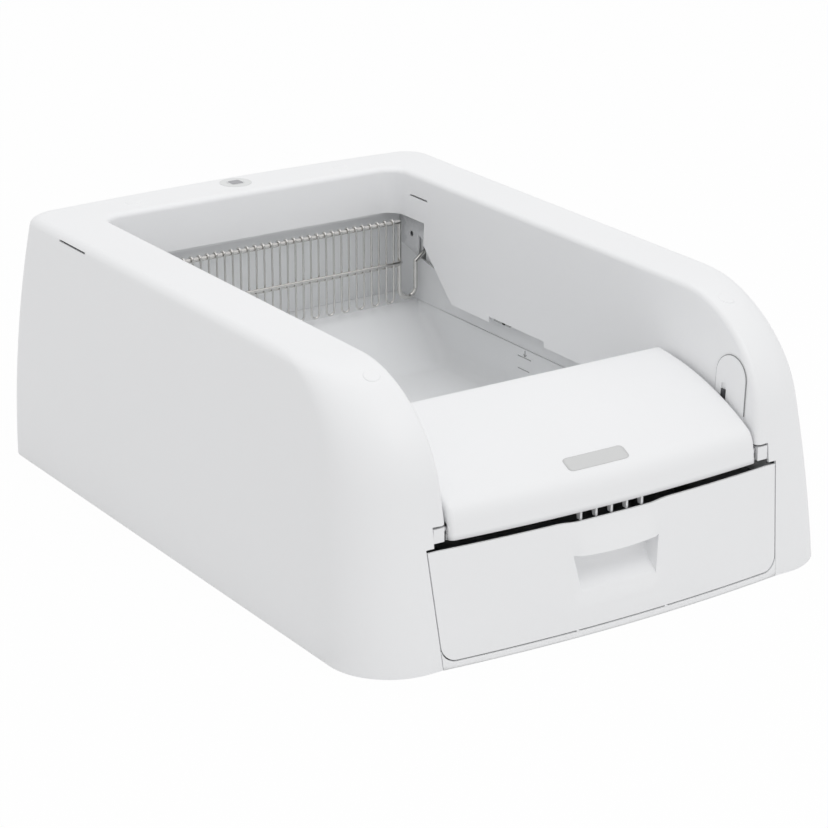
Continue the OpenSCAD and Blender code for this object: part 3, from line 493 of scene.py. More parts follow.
# Round hole of the power inlet in the rear wall
INLET_X = 0.150
INLET_Z = 0.030
INLET_HOLE = 0.0055
INLET_SIDES = 16
INLET_FIELD = 0.030
REAR_WALL = 0.300
HOLE_INSIDE = 0.9


def near_inlet(face, reach=INLET_FIELD):
    """Whether a face of the rear wall lies within this reach of the inlet."""
    place = face.calc_center_median()
    return place.y > REAR_WALL and math.hypot(place.x - INLET_X, place.z - INLET_Z) < reach


ring_cut(casing, near_inlet, (INLET_X, 0, INLET_Z), (1, 0, 0), (0, 0, 1), INLET_HOLE, INLET_SIDES)
doomed = [f for f in casing.faces if near_inlet(f, INLET_HOLE * HOLE_INSIDE)]
bmesh.ops.delete(casing, geom=doomed, context="FACES")

# Round hole of the button's bezel in the rear rim
BUTTON_Y = 0.326
BEZEL_HOLE = 0.01708
BEZEL_SIDES = 40
BEZEL_FIELD = 0.0185
REAR_RIM = 0.200


def on_rear_rim(face):
    place = face.calc_center_median()
    return place.z > CASE_HEIGHT - SLACK and place.y > REAR_RIM


def from_button(face):
    place = face.calc_center_median()
    return place.x, place.y - BUTTON_Y


def near_button(face):
    return on_rear_rim(face) and max(map(abs, from_button(face))) < BEZEL_FIELD


for offset in (-BEZEL_FIELD, BEZEL_FIELD):
    for place, direction in (((offset, 0, 0), (1, 0, 0)), ((0, BUTTON_Y + offset, 0), (0, 1, 0))):
        cut(casing, [f for f in casing.faces if on_rear_rim(f)], place, direction)
ring_cut(casing, near_button, (0, BUTTON_Y, 0), (1, 0, 0), (0, 1, 0), BEZEL_HOLE, BEZEL_SIDES)
doomed = [f for f in casing.faces if near_button(f) and math.hypot(*from_button(f)) < BEZEL_HOLE]
bmesh.ops.delete(casing, geom=doomed, context="FACES")

casing_shell = piece("casing_shell", casing, white_plastic, "frame", ["frame_shell"])
thicken(casing_shell, CASE_WALL)
soften(casing_shell, CASE_SOFT, angle=60.0)


# Rim plugs: low round caps of white plastic over the casing's screws, two on the rear rim and one on the
# shoulder of each arm. They follow the curve of the casing.
PLUG_RADIUS = 0.008
PLUG_PLACES = ((0.126, 0.319), (0.1965, -0.2495))
PLUG_RINGS = ((0.3, 0.00045), (0.6, 0.00045), (0.85, 0.00042), (0.95, 0.0003), (1.0, 0.0), (1.01, -0.0008))
PLUG_SIDES = 32
PLUG_WALL = 0.0008
PLUG_LEAN_STEP = 0.002
LEAN_STEP = 0.0005


def casing_top(x, y):
    """Height of the casing's upper side: the flat rim, or the shoulder of an arm in front of it."""
    low, high = SHOULDER_START, CASE_HEIGHT
    if y > front_line(abs(x), CASE_HEIGHT):
        return CASE_HEIGHT
    for _ in range(HALVINGS):
        middle = (low + high) / 2
        if front_line(abs(x), middle) < y:
            low = middle
        else:
            high = middle
    return low


def top_lean(x, y, step):
    """How much the casing's upper side rises to the right and to the rear."""
    right = (casing_top(x + step, y) - casing_top(x - step, y)) / (2 * step)
    rear = (casing_top(x, y + step) - casing_top(x, y - step)) / (2 * step)
    return right, rear


def on_casing(x, y, proud):
    """A point over the casing's upper side, square to it."""
    right, rear = top_lean(x, y, LEAN_STEP)
    return Vector((x, y, casing_top(x, y))) + proud * Vector((-right, -rear, 1.0)).normalized()


plugs = bmesh.new()
for centre_x, centre_y in PLUG_PLACES + tuple((-x, y) for x, y in PLUG_PLACES):
    lean = top_lean(centre_x, centre_y, PLUG_LEAN_STEP)[1]
    middle = plugs.verts.new(on_casing(centre_x, centre_y, PLUG_RINGS[0][1]))
    rings = []
    for share, proud in PLUG_RINGS:
        ring = []
        for k in range(PLUG_SIDES):
            turn = 2 * math.pi * k / PLUG_SIDES
            x = centre_x + share * PLUG_RADIUS * math.cos(turn)
            y = centre_y + share * PLUG_RADIUS * math.sin(turn) / math.hypot(1.0, lean)
            ring.append(plugs.verts.new(on_casing(x, y, proud)))
        rings.append(ring)
    for k in range(PLUG_SIDES):
        plugs.faces.new((middle, rings[0][k - 1], rings[0][k]))
        for inner, outer in zip(rings, rings[1:]):
            plugs.faces.new((inner[k - 1], outer[k - 1], outer[k], inner[k]))
bmesh.ops.recalc_face_normals(plugs, faces=plugs.faces)
rim_caps = piece("rim_caps", plugs, white_plastic, "frame", ["rim_plugs"])
thicken(rim_caps, PLUG_WALL)


# Arch plates: white mouldings on the inner sides of the arms, beside the lid, with dark plastic catches in
# their slots. Both keep their CAD shape, and a narrow dark grey strip of painted shadow runs round each
# plate, for the shaded gap.
def dress(material, *nodes):
    """Gives CAD nodes that keep their shape a material."""
    for node in nodes:
        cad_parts[node].data.materials.clear()
        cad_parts[node].data.materials.append(material)


dress(white_plastic, "arch_plates")
dress(moulded_plastic("catch_dark", (0.05, 0.05, 0.055), 0.45), "lid_catches")
ARCH_Y = -0.288
ARCH_Z = 0.182
ARCH_LOW = 0.150
GAP_SHADE_RADII = (0.0211, 0.0218)
GAP_SHADE_PROUD = 0.0003
GAP_SHADE_TURN = 20
GAP_SHADE_LEG = 4
# Painted shadow: a dark grey strip round each plate, just proud of the panel, where the gap between plate
# and panel lies in shade.
gap_shade_grey = moulded_plastic("gap_shade_grey", (0.30, 0.305, 0.31), 0.5)
gap_shade_mesh = bmesh.new()
for side in (-1, 1):
    pairs = []
    for k in range(-GAP_SHADE_LEG, GAP_SHADE_TURN + GAP_SHADE_LEG + 1):
        turn = math.pi * min(max(k, 0), GAP_SHADE_TURN) / GAP_SHADE_TURN
        drop = (ARCH_Z - ARCH_LOW) * (max(0, -k) + max(0, k - GAP_SHADE_TURN)) / GAP_SHADE_LEG
        pairs.append([(ARCH_Y + r * math.cos(turn), ARCH_Z + r * math.sin(turn) - drop) for r in GAP_SHADE_RADII])
    made = []
    for couple in pairs:
        made.append([gap_shade_mesh.verts.new((side * (opening_x(z) - GAP_SHADE_PROUD), y, z)) for y, z in couple])
    for first, second in zip(made, made[1:]):
        corners = (first[0], first[1], second[1], second[0])
        gap_shade_mesh.faces.new(corners if side > 0 else corners[::-1])
arch_gap_shade = piece("arch_gap_shade", gap_shade_mesh, gap_shade_grey, "frame")
thicken(arch_gap_shade, GAP_SHADE_PROUD * 2)


# Waste lid: a crowned white moulding, hinged at the front, that bows forward over the drawer. Its top rolls
# over a soft nose into the lip, and skirts with round edges close its sides and its rear.
LID_HALF = 0.170
LID_REAR = Vector((-0.1843, 0.185))
LID_CROWN = Vector((-0.2623, 0.179))
LID_NOSE = Vector((-0.318, 0.146))
LID_BEND = Vector((-0.328, 0.141))
LID_CHIN = Vector((-0.330, 0.127))
LID_LIP = Vector((-0.332, 0.113))
LID_LENGTH = 0.147
LID_SKIRT = 0.140
LID_REAR_LEVELS = (0.155, 0.168)
LID_EDGE = 0.005
LID_EDGE_ROWS = 4
LID_EDGE_TURN = 18
LID_WALL = 0.0024
LID_COLUMNS = 30
LID_TOP_ROWS = 18
LID_NOSE_ROWS = 8
LID_LIP_ROWS = 3
LID_MERGE = 1e-5


def curve(start, middle, end, count):
    """Points of a quadratic curve, without its start."""
    shares = [i / count for i in range(1, count + 1)]
    return [start.lerp(middle, t).lerp(middle.lerp(end, t), t) for t in shares]


def lid_place(x, point):
    """A point of the lid's side line, carried forward by the bow."""
    back = max(0.0, (LID_REAR.x - point.x) / LID_LENGTH)
    return Vector((x, point.x - bow_at(x) * back**2, point.y))


lid_line = [Vector((LID_REAR.x, z)) for z in (LID_SKIRT, *LID_REAR_LEVELS, LID_REAR.y - LID_EDGE)]
lid_line += round_corner(LID_REAR - Vector((LID_EDGE, LID_EDGE)), LID_EDGE, 0.0, math.pi / 2, LID_EDGE_ROWS)
lid_line += curve(lid_line[-1], LID_CROWN, LID_NOSE, LID_TOP_ROWS)
lid_line += curve(LID_NOSE, LID_BEND, LID_CHIN, LID_NOSE_ROWS) + straight(LID_CHIN, LID_LIP, LID_LIP_ROWS)

lid = bmesh.new()
lid_rows = []
for i, point in enumerate(lid_line):
    along = lid_line[min(i + 1, len(lid_line) - 1)] - lid_line[max(i - 1, 0)]
    inward = Vector((-along.y, along.x)).normalized()
    low_y = min(max(point.x, LID_LIP.x + LID_EDGE), LID_REAR.x - LID_EDGE)
    slope = (LID_SKIRT - LID_LIP.y) / (LID_REAR.x - LID_LIP.x)
    low = Vector((low_y, min(point.y, LID_LIP.y + slope * (low_y - LID_LIP.x))))
    half = [(LID_HALF, low)]
    for turn in range(90, -1, -LID_EDGE_TURN):
        lean = math.radians(turn)
        edge_x = LID_HALF - LID_EDGE * (1 - math.sin(lean))
        half.append((edge_x, point + LID_EDGE * (1 - math.cos(lean)) * inward))
    inside = LID_HALF - LID_EDGE
    across = [(inside * (1 - 2 * k / LID_COLUMNS), point) for k in range(1, LID_COLUMNS)]
    section = half + across + [(-x, p) for x, p in reversed(half)]
    lid_rows.append([lid.verts.new(lid_place(x, p)) for x, p in section])
for first, second in zip(lid_rows, lid_rows[1:]):
    for k in range(len(first) - 1):
        lid.faces.new((first[k], first[k + 1], second[k + 1], second[k]))
bmesh.ops.remove_doubles(lid, verts=lid.verts, dist=LID_MERGE)
bmesh.ops.recalc_face_normals(lid, faces=lid.faces)
lid_shell = piece("lid_shell", lid, white_plastic, "lid", ["waste_lid"])
thicken(lid_shell, LID_WALL)

# Ribs that hang from the lid's lip, and the bosses of its hinge
RIB_COUNT = 5
RIB_PITCH = 0.017
RIB_HALF = 0.00125
RIB_SOFT = 0.0004
RIB_FRONT = -0.3394
RIB_OUTLINE = ((0.0, 0.114), (0.0088, 0.114), (0.0088, 0.121), (0.0, 0.121))
RIB_HOOK = ((0.0012, 0.1036), (0.0062, 0.1036), (0.0088, 0.115), (0.0012, 0.115))
HINGE_Y = -0.324
HINGE_Z = 0.122
BOSS_RADIUS = 0.006
BOSS_LENGTH = 0.010
BOSS_SIDES = 32


def push(bm, face, way):
    """Extrudes a face this way."""
    pushed = bmesh.ops.extrude_face_region(bm, geom=[face])["geom"]
    bmesh.ops.translate(bm, verts=[v for v in pushed if isinstance(v, bmesh.types.BMVert)], vec=way)


ribs = bmesh.new()
for k in range(RIB_COUNT):
    x = (k - (RIB_COUNT - 1) / 2) * RIB_PITCH
    for outline in (RIB_OUTLINE, RIB_HOOK):
        rib = ribs.faces.new([ribs.verts.new((x - RIB_HALF, RIB_FRONT + y, z)) for y, z in outline])
        push(ribs, rib, (2 * RIB_HALF, 0, 0))
for side in (-1, 1):
    boss = Matrix.Translation((side * (LID_HALF - BOSS_LENGTH / 2), HINGE_Y, HINGE_Z))
    bmesh.ops.create_cone(
        ribs,
        cap_ends=True,
        segments=BOSS_SIDES,
        radius1=BOSS_RADIUS,
        radius2=BOSS_RADIUS,
        depth=BOSS_LENGTH,
        matrix=boss @ Matrix.Rotation(math.pi / 2, 4, "Y"),
    )
bmesh.ops.recalc_face_normals(ribs, faces=ribs.faces)
lid_ribs = piece("lid_ribs", ribs, white_plastic, "lid")
soften(lid_ribs, RIB_SOFT)

# Plain grey plate on the lid, near its nose
PLATE_LEFT = -0.038
PLATE_RIGHT = 0.029
PLATE_SPAN = (0.885, 1.0)
PLATE_CORNER = 0.0045
PLATE_LENGTH = 0.0165
PLATE_THICK = 0.0003
PLATE_ROWS = 16
PLATE_COLUMNS = 20
plate_grey = moulded_plastic("plate_grey", (0.64, 0.645, 0.645), 0.5)
plate = bmesh.new()
plate_rows = []
for i in range(PLATE_ROWS + 1):
    share = i / PLATE_ROWS
    t = PLATE_SPAN[0] + (PLATE_SPAN[1] - PLATE_SPAN[0]) * share
    start, end = LID_REAR.lerp(LID_CROWN, t), LID_CROWN.lerp(LID_NOSE, t)
    point = start.lerp(end, t)
    outward = Vector((start.y - end.y, end.x - start.x)).normalized()
    outward = -outward if outward.y < 0 else outward
    edge = min(share, 1 - share) * PLATE_LENGTH
    inset = 0.0
    if edge < PLATE_CORNER:
        inset = PLATE_CORNER - math.sqrt(PLATE_CORNER**2 - (PLATE_CORNER - edge) ** 2)
    row = []
    for k in range(PLATE_COLUMNS + 1):
        x = PLATE_LEFT + inset + (PLATE_RIGHT - PLATE_LEFT - 2 * inset) * k / PLATE_COLUMNS
        row.append(plate.verts.new(lid_place(x, point + PLATE_THICK * outward)))
    plate_rows.append(row)
for first, second in zip(plate_rows, plate_rows[1:]):
    for k in range(PLATE_COLUMNS):
        plate.faces.new((first[k], second[k], second[k + 1], first[k + 1]))
lid_plate = piece("lid_plate", plate, plate_grey, "lid")
thicken(lid_plate, PLATE_THICK)


# Drawer front: a leaning, bowed white moulding with round lower corners and soft edges. Over the finger
# recess it bulges and ends in a shallow arch, and the recess is a scoop that rises to the rear.
DRAWER_LOW = 0.0073
DRAWER_CORNER = 0.014
DRAWER_WALL = 0.003
DRAWER_SOFT = 0.0011
HANDLE_HALF = 0.0475
HANDLE_TAPER = 0.0060
HANDLE_ARCH = 0.002
HANDLE_PROUD = 0.0030
HANDLE_BULGE = 0.0012
HANDLE_FLANK = 0.125
HANDLE_COLUMNS = 8
VISOR_DEPTH = 0.007
RECESS_LOW = 0.040
RECESS_TOP = 0.075
RECESS_REAR = -0.3310
RECESS_ROUND = 0.006
RECESS_RISE = 0.0135
RECESS_KNEE = 0.007
RECESS_LEAN = 0.001
SCOOP_STEPS = 5
KNEE_STEPS = 6
BULGE_TOP = 0.100
DIP = 0.0018
DIP_START = 0.060
DIP_END = 0.040
SIDE_COLUMNS = [0.052, 0.060, 0.070, 0.085, 0.100, 0.116, 0.134, 0.150]
CORNER_RISE = 0.004
FRONT_LEVELS = [RECESS_LOW, 0.048, 0.057, 0.066, RECESS_TOP, 0.082, 0.089, 0.096, 0.101]


def drawer_place(x, z, proud=0.0):
    return Vector((x, FRONT_SEAM + FRONT_LEAN * z - bow_at(x) - proud, z))


def handle_scale(z):
    """How much the recess has narrowed at this height."""
    down = min(1.0, max(0.0, (RECESS_TOP - z) / (RECESS_TOP - RECESS_LOW)))
    return 1 - HANDLE_TAPER / HANDLE_HALF * down


def drawer_top(x):
    share = min(1.0, max(0.0, (DIP_START - abs(x)) / (DIP_START - DIP_END)))
    return DRAWER_TOP - DIP * share * share * (3 - 2 * share)


corner_x = drawer_half(DRAWER_CORNER) - DRAWER_CORNER
corner_z = DRAWER_LOW + DRAWER_CORNER
side_spread = (drawer_half(DRAWER_TOP) - drawer_half(DRAWER_CORNER)) / (DRAWER_TOP - DRAWER_CORNER)
half_columns = [HANDLE_HALF * k / HANDLE_COLUMNS for k in range(HANDLE_COLUMNS + 1)] + SIDE_COLUMNS
half_columns += [corner_x + DRAWER_CORNER * math.sin(math.radians(a)) for a in range(0, 91, 9)]
columns = [-x for x in reversed(half_columns[1:])] + half_columns
heights = [corner_z + CORNER_RISE] + FRONT_LEVELS

front = bmesh.new()
front_columns = []
for x in columns:
    past = max(0.0, abs(x) - corner_x)
    low = corner_z - math.sqrt(max(0.0, DRAWER_CORNER**2 - past**2))
    column = []
    for z in [low] + heights + [drawer_top(x)]:
        place = x + math.copysign(past / DRAWER_CORNER * side_spread * max(0.0, z - DRAWER_CORNER), x)
        proud = 0.0
        if abs(x) <= HANDLE_HALF + SLACK:
            place = x * handle_scale(z)
            middle = 1 - (x / HANDLE_HALF) ** 2
            if z >= RECESS_TOP:
                flank = min(1.0, (1 - abs(x) / HANDLE_HALF) / HANDLE_FLANK)
                proud = HANDLE_PROUD * flank + HANDLE_BULGE * middle
                proud *= max(0.0, (BULGE_TOP - z) / (BULGE_TOP - RECESS_TOP))
            if z == RECESS_TOP:
                z -= HANDLE_ARCH * middle
        column.append(front.verts.new(drawer_place(place, z, proud)))
    front_columns.append(column)
low_row, top_row = heights.index(RECESS_LOW) + 1, heights.index(RECESS_TOP) + 1
hole = [k for k, x in enumerate(columns) if abs(x) <= HANDLE_HALF + SLACK]
outer_faces = []
for k, (first, second) in enumerate(zip(front_columns, front_columns[1:])):
    for i in range(len(first) - 1):
        if not (k in hole and k + 1 in hole and low_row <= i < top_row):
            outer_faces.append(front.faces.new((first[i], second[i], second[i + 1], first[i + 1])))

scoop_rows = []
for k in hole:
    top, low = front_columns[k][top_row], front_columns[k][low_row]
    line = [Vector((top.co.y + VISOR_DEPTH, top.co.z)), Vector((RECESS_REAR - RECESS_ROUND, top.co.z))]
    turn = (RECESS_REAR - RECESS_ROUND, top.co.z - RECESS_ROUND)
    line += round_corner(turn, RECESS_ROUND, math.pi / 2, 0.0, SCOOP_STEPS)
    foot = Vector((low.co.y, low.co.z))
    knee = Vector((RECESS_REAR - RECESS_LEAN, RECESS_LOW + RECESS_RISE))
    upper = knee + RECESS_KNEE * (line[-1] - knee).normalized()
    lower = knee + RECESS_KNEE * (foot - knee).normalized()
    line += straight(line[-1], upper, 2) + curve(upper, knee, lower, KNEE_STEPS)
    line += straight(lower, foot, SCOOP_STEPS)[:-1]
    made = [front.verts.new((columns[k] * handle_scale(p.y), p.x, p.y)) for p in line]
    scoop_rows.append([top] + made + [low])
for first, second in zip(scoop_rows, scoop_rows[1:]):
    for i in range(len(first) - 1):
        front.faces.new((first[i], first[i + 1], second[i + 1], second[i]))
for k, row in ((hole[0], scoop_rows[0]), (hole[-1], scoop_rows[-1])):
    front.faces.new(row + front_columns[k][low_row + 1 : top_row])
bmesh.ops.recalc_face_normals(front, faces=front.faces)
if sum(f.normal.y for f in outer_faces) > 0:
    bmesh.ops.reverse_faces(front, faces=front.faces)
drawer_panel = piece(
    "drawer_panel", front, white_plastic, "drawer", ["drawer_front", "drawer_handle"]
)
thicken(drawer_panel, DRAWER_WALL)
soften(drawer_panel, DRAWER_SOFT, angle=50.0, segments=3)


# Base strip: the white facing of the base under the drawer, from one arm of the casing to the other. It
# fills the corners round the drawer's lower corners.
STRIP_LOW = 0.0005
STRIP_GAP = 0.0012
STRIP_PROUD = 0.0003
STRIP_WALL = STRIP_PROUD * 0.9
STRIP_SHORT = 0.0005
STRIP_COLUMNS = 12
STRIP_ROWS = 3


def strip_levels(top):
    return [STRIP_LOW + (top - STRIP_LOW) * i / STRIP_ROWS for i in range(STRIP_ROWS + 1)]


strip = bmesh.new()
strip_columns = []
strip_corner = DRAWER_CORNER + STRIP_GAP
strip_half = [corner_x * k / STRIP_COLUMNS for k in range(STRIP_COLUMNS + 1)]
strip_half += [corner_x + strip_corner * math.sin(math.radians(a)) for a in range(8, 65, 8)]
for x in [-x for x in reversed(strip_half[1:])] + strip_half:
    past = max(0.0, abs(x) - corner_x)
    top = corner_z - math.sqrt(strip_corner**2 - past**2)
    strip_columns.append([strip.verts.new(drawer_place(x, z, STRIP_PROUD)) for z in strip_levels(top)])
for side in (0, -1):
    edge = []
    for z in strip_levels(strip_columns[side][-1].co.z):
        reach = math.copysign(drawer_half(z) + STRIP_GAP - STRIP_SHORT, strip_columns[side][0].co.x)
        edge.append(strip.verts.new(drawer_place(reach, z, STRIP_PROUD)))
    strip_columns.insert(0 if side == 0 else len(strip_columns), edge)
for first, second in zip(strip_columns, strip_columns[1:]):
    for i in range(STRIP_ROWS):
        strip.faces.new((first[i], second[i], second[i + 1], first[i + 1]))
bmesh.ops.recalc_face_normals(strip, faces=strip.faces)
if sum(f.normal.y for f in strip.faces) > 0:
    bmesh.ops.reverse_faces(strip, faces=strip.faces)
base_strip = piece("base_strip", strip, white_plastic, "frame")
thicken(base_strip, STRIP_WALL)

# Two small lugs on the strip's upper edge, in the gap under the drawer
LUGS = (-0.0486, 0.0507)
LUG_SIZE = (0.0030, 0.0012, 0.0013)
LUG_Z = 0.0065
LUG_SOFT = 0.0003
lugs = bmesh.new()
for x in LUGS:
    place = Matrix.Translation(drawer_place(x, LUG_Z)) @ Matrix.Diagonal((*LUG_SIZE, 1.0))
    bmesh.ops.create_cube(lugs, size=1.0, matrix=place)
strip_lugs = piece("strip_lugs", lugs, white_plastic, "frame")
soften(strip_lugs, LUG_SOFT)


# Tray: a light grey moulding with wide round corners between its floor and its sides. The liner behind the
# rake, the rails and the carriages are of the same plastic. The hinge blocks beside the lid are white, and
# the bin in the drawer is dark grey.
GREY = (0.82, 0.83, 0.84)
grey_plastic = moulded_plastic("grey_plastic", GREY, 0.40)
dress(grey_plastic, "base_tray", "rear_liner")
dress(white_plastic, "hinge_block_left", "hinge_block_right")
dress(moulded_plastic("bin_grey", (0.16, 0.16, 0.165), 0.5), "drawer_bin")
dress(grey_plastic, "rail_left", "rail_right", "carriage_left", "carriage_right")

TRAY_HALF = 0.1936
TRAY_RIM = 0.1036
TRAY_CORNER = 0.016
TRAY_LIFT = 0.0004
TRAY_BOTTOM = 0.047
TRAY_REAR = (0.2705, 0.2060)
TRAY_FRONT = (-0.1895, -0.1000)
TRAY_CREST = 0.100
TRAY_FOOT = 0.0075
TRAY_LEAST_CORNER = 0.0002
TRAY_ROUND = 8
TRAY_ROWS = 90
TRAY_COLUMNS = 12


def tray_floor(y):
    """Height of the tray's floor: slopes at both ends with soft feet."""
    rear = (y - TRAY_REAR[1]) * (TRAY_RIM - TRAY_BOTTOM) / (TRAY_REAR[0] - TRAY_REAR[1])
    front = (TRAY_FRONT[1] - y) * (TRAY_CREST - TRAY_BOTTOM) / (TRAY_FRONT[1] - TRAY_FRONT[0])
    rise = max(rear, front)
    if rise < -TRAY_FOOT:
        return TRAY_BOTTOM + TRAY_LIFT
    if rise < TRAY_FOOT:
        return TRAY_BOTTOM + TRAY_LIFT + (rise + TRAY_FOOT) ** 2 / (4 * TRAY_FOOT)
    return TRAY_BOTTOM + TRAY_LIFT + rise


tray = bmesh.new()
tray_rows = []
for i in range(TRAY_ROWS + 1):
    y = TRAY_FRONT[0] + (TRAY_REAR[0] - TRAY_FRONT[0]) * i / TRAY_ROWS
    low = min(tray_floor(y), TRAY_RIM)
    corner = min(TRAY_CORNER, max(TRAY_LEAST_CORNER, TRAY_RIM - low))
    right = [Vector((TRAY_HALF, TRAY_RIM))]
    right += straight(right[0], (TRAY_HALF, low + corner), 3)
    right += round_corner((TRAY_HALF - corner, low + corner), corner, 0.0, -math.pi / 2, TRAY_ROUND)
    inside = TRAY_HALF - corner
    floor_line = [Vector((inside * (1 - 2 * k / TRAY_COLUMNS), low)) for k in range(1, TRAY_COLUMNS)]
    section = right + floor_line + [Vector((-p.x, p.y)) for p in reversed(right)]
    tray_rows.append([tray.verts.new((p.x, y, p.y)) for p in section])
for first, second in zip(tray_rows, tray_rows[1:]):
    for k in range(len(first) - 1):
        tray.faces.new((first[k], second[k], second[k + 1], first[k + 1]))
bmesh.ops.recalc_face_normals(tray, faces=tray.faces)
if sum(f.normal.z for f in tray.faces) < 0:
    bmesh.ops.reverse_faces(tray, faces=tray.faces)
piece("tray_skin", tray, grey_plastic, "frame")


# Cheeks: grey plates over the rear ends of the rails. They leave the way of the rake's arms open, and each
# has a screw hole behind the parked rake.
CHEEK_X = 0.1951
CHEEK_WALL = 0.0017
CHEEK_Y = (0.2310, 0.3074)
CHEEK_TOP = 0.1993
CHEEK_LOW = 0.1540
ARM_REAR = 0.2700
SWING_Y = 0.036
SWING_Z = 1.1795
CHEEK_RADIUS = 1.0305
CHEEK_STEPS = 8
SCREW_Y = 0.2840
SCREW_Z = 0.1755
SCREW_HOLE = 0.0030
SCREW_SIDES = 12
cheeks = bmesh.new()
for side in (-1, 1):
    outline = []
    for k in range(CHEEK_STEPS + 1):
        y = CHEEK_Y[0] + (ARM_REAR - CHEEK_Y[0]) * k / CHEEK_STEPS
        outline.append((y, SWING_Z - math.sqrt(CHEEK_RADIUS**2 - (y - SWING_Y) ** 2)))
    outline += [(ARM_REAR, CHEEK_LOW), (CHEEK_Y[1], CHEEK_LOW)]
    outline += [(CHEEK_Y[1], CHEEK_TOP), (CHEEK_Y[0], CHEEK_TOP)]
    corners = [cheeks.verts.new((side * CHEEK_X, y, z)) for y, z in outline]
    cheeks.faces.new(corners if side < 0 else corners[::-1])


def in_screw_hole(face):
    place = face.calc_center_median()
    return math.hypot(place.y - SCREW_Y, place.z - SCREW_Z) < SCREW_HOLE * HOLE_INSIDE


ring_cut(cheeks, lambda face: True, (0, SCREW_Y, SCREW_Z), (0, 1, 0), (0, 0, 1), SCREW_HOLE, SCREW_SIDES)
bmesh.ops.delete(cheeks, geom=[f for f in cheeks.faces if in_screw_hole(f)], context="FACES")
rail_cheeks = piece("rail_cheeks", cheeks, grey_plastic, "frame")
thicken(rail_cheeks, CHEEK_WALL)

# Fill marks on the tray's right wall: two raised lines and an arrow that points at the upper one
MARK_HALF = 0.0004
MARK_PROUD = 0.0004
MARK_SUNK = 0.0001
FILL_LINES = (((0.0790, 0.0945), (0.0557, 0.0945)), ((0.0788, 0.0810), (0.0585, 0.0810)))
ARROW_SHAFT = ((0.0666, 0.1025), (0.0666, 0.0960))
ARROW_HEAD = (((0.0690, 0.0985), (0.0666, 0.0958)), ((0.0642, 0.0985), (0.0666, 0.0958)))
marks = bmesh.new()
for start, end in (*FILL_LINES, ARROW_SHAFT, *ARROW_HEAD):
    along = (Vector(end) - Vector(start)).normalized()
    across = MARK_HALF * Vector((-along.y, along.x))
    ring = [Vector(start) + across, Vector(end) + across, Vector(end) - across, Vector(start) - across]
    low = [marks.verts.new((TRAY_HALF + MARK_SUNK, p.x, p.y)) for p in ring]
    high = [marks.verts.new((TRAY_HALF - MARK_PROUD, p.x, p.y)) for p in ring]
    marks.faces.new(high)
    for k in range(4):
        marks.faces.new((low[k], low[(k + 1) % 4], high[(k + 1) % 4], high[k]))
bmesh.ops.recalc_face_normals(marks, faces=marks.faces)
mark_grey = moulded_plastic("mark_grey", (0.46, 0.465, 0.47), 0.45)
piece("fill_marks", marks, mark_grey, "frame")


# Rake: a frame and tines of bright stainless wire with fine scratches, which keep their CAD shape. The
# tines' upper ends wrap over the upper rail.
def bright_steel(name, grey, roughness):
    """Polished metal with fine scratches and a slightly uneven shine."""
    material, tree = finish(name)
    place = tree.node("ShaderNodeTexCoord", {}, {}, "Object")
    clouds = tree.node("ShaderNodeTexNoise", {}, {"Vector": place, "Scale": 60.0, "Detail": 3.0})
    scratches = tree.node("ShaderNodeTexNoise", {}, {"Vector": place, "Scale": 2400.0, "Detail": 2.0})
    bump = tree.node("ShaderNodeBump", {}, {"Height": scratches, "Strength": 0.3, "Distance": 0.00001})
    tint = clouds.blend([c * 0.94 for c in grey], grey)
    surface(tree, Base_Color=tint, Metallic=1.0, Roughness=roughness + 0.1 * clouds, Normal=bump)
    return material


stainless = bright_steel("stainless_wire", (0.70, 0.69, 0.67), 0.12)
dress(stainless, "rake_frame", "rake_tines")

RAKE_Y = 0.264
RAKE_TOP = 0.198
RAKE_HALF = 0.166
RAIL_WIRE = 0.0025
TINE_WIRE = 0.0011
TINE_COUNT = 34
TINE_PITCH = 2 * RAKE_HALF / (TINE_COUNT + 1)
WRAP_TURN = math.radians(200)
WRAP_STEPS = 12
WRAP_SIDES = 8
WRAP_GAP = 0.00005

wraps = bmesh.new()
for k in range(TINE_COUNT):
    x = (k - (TINE_COUNT - 1) / 2) * TINE_PITCH
    reach = RAIL_WIRE + TINE_WIRE + WRAP_GAP
    ring = bmesh.ops.create_circle(wraps, segments=WRAP_SIDES, radius=TINE_WIRE)["verts"]
    bmesh.ops.translate(wraps, verts=ring, vec=(x, RAKE_Y - reach, RAKE_TOP))
    bmesh.ops.spin(
        wraps,
        geom=ring + list({e for v in ring for e in v.link_edges}),
        cent=(x, RAKE_Y, RAKE_TOP),
        axis=(1, 0, 0),
        angle=-WRAP_TURN,
        steps=WRAP_STEPS,
        use_merge=False,
    )
bmesh.ops.holes_fill(wraps, edges=[e for e in wraps.edges if e.is_boundary], sides=WRAP_SIDES)
bmesh.ops.recalc_face_normals(wraps, faces=wraps.faces)
piece("tine_wraps", wraps, stainless, "rake")

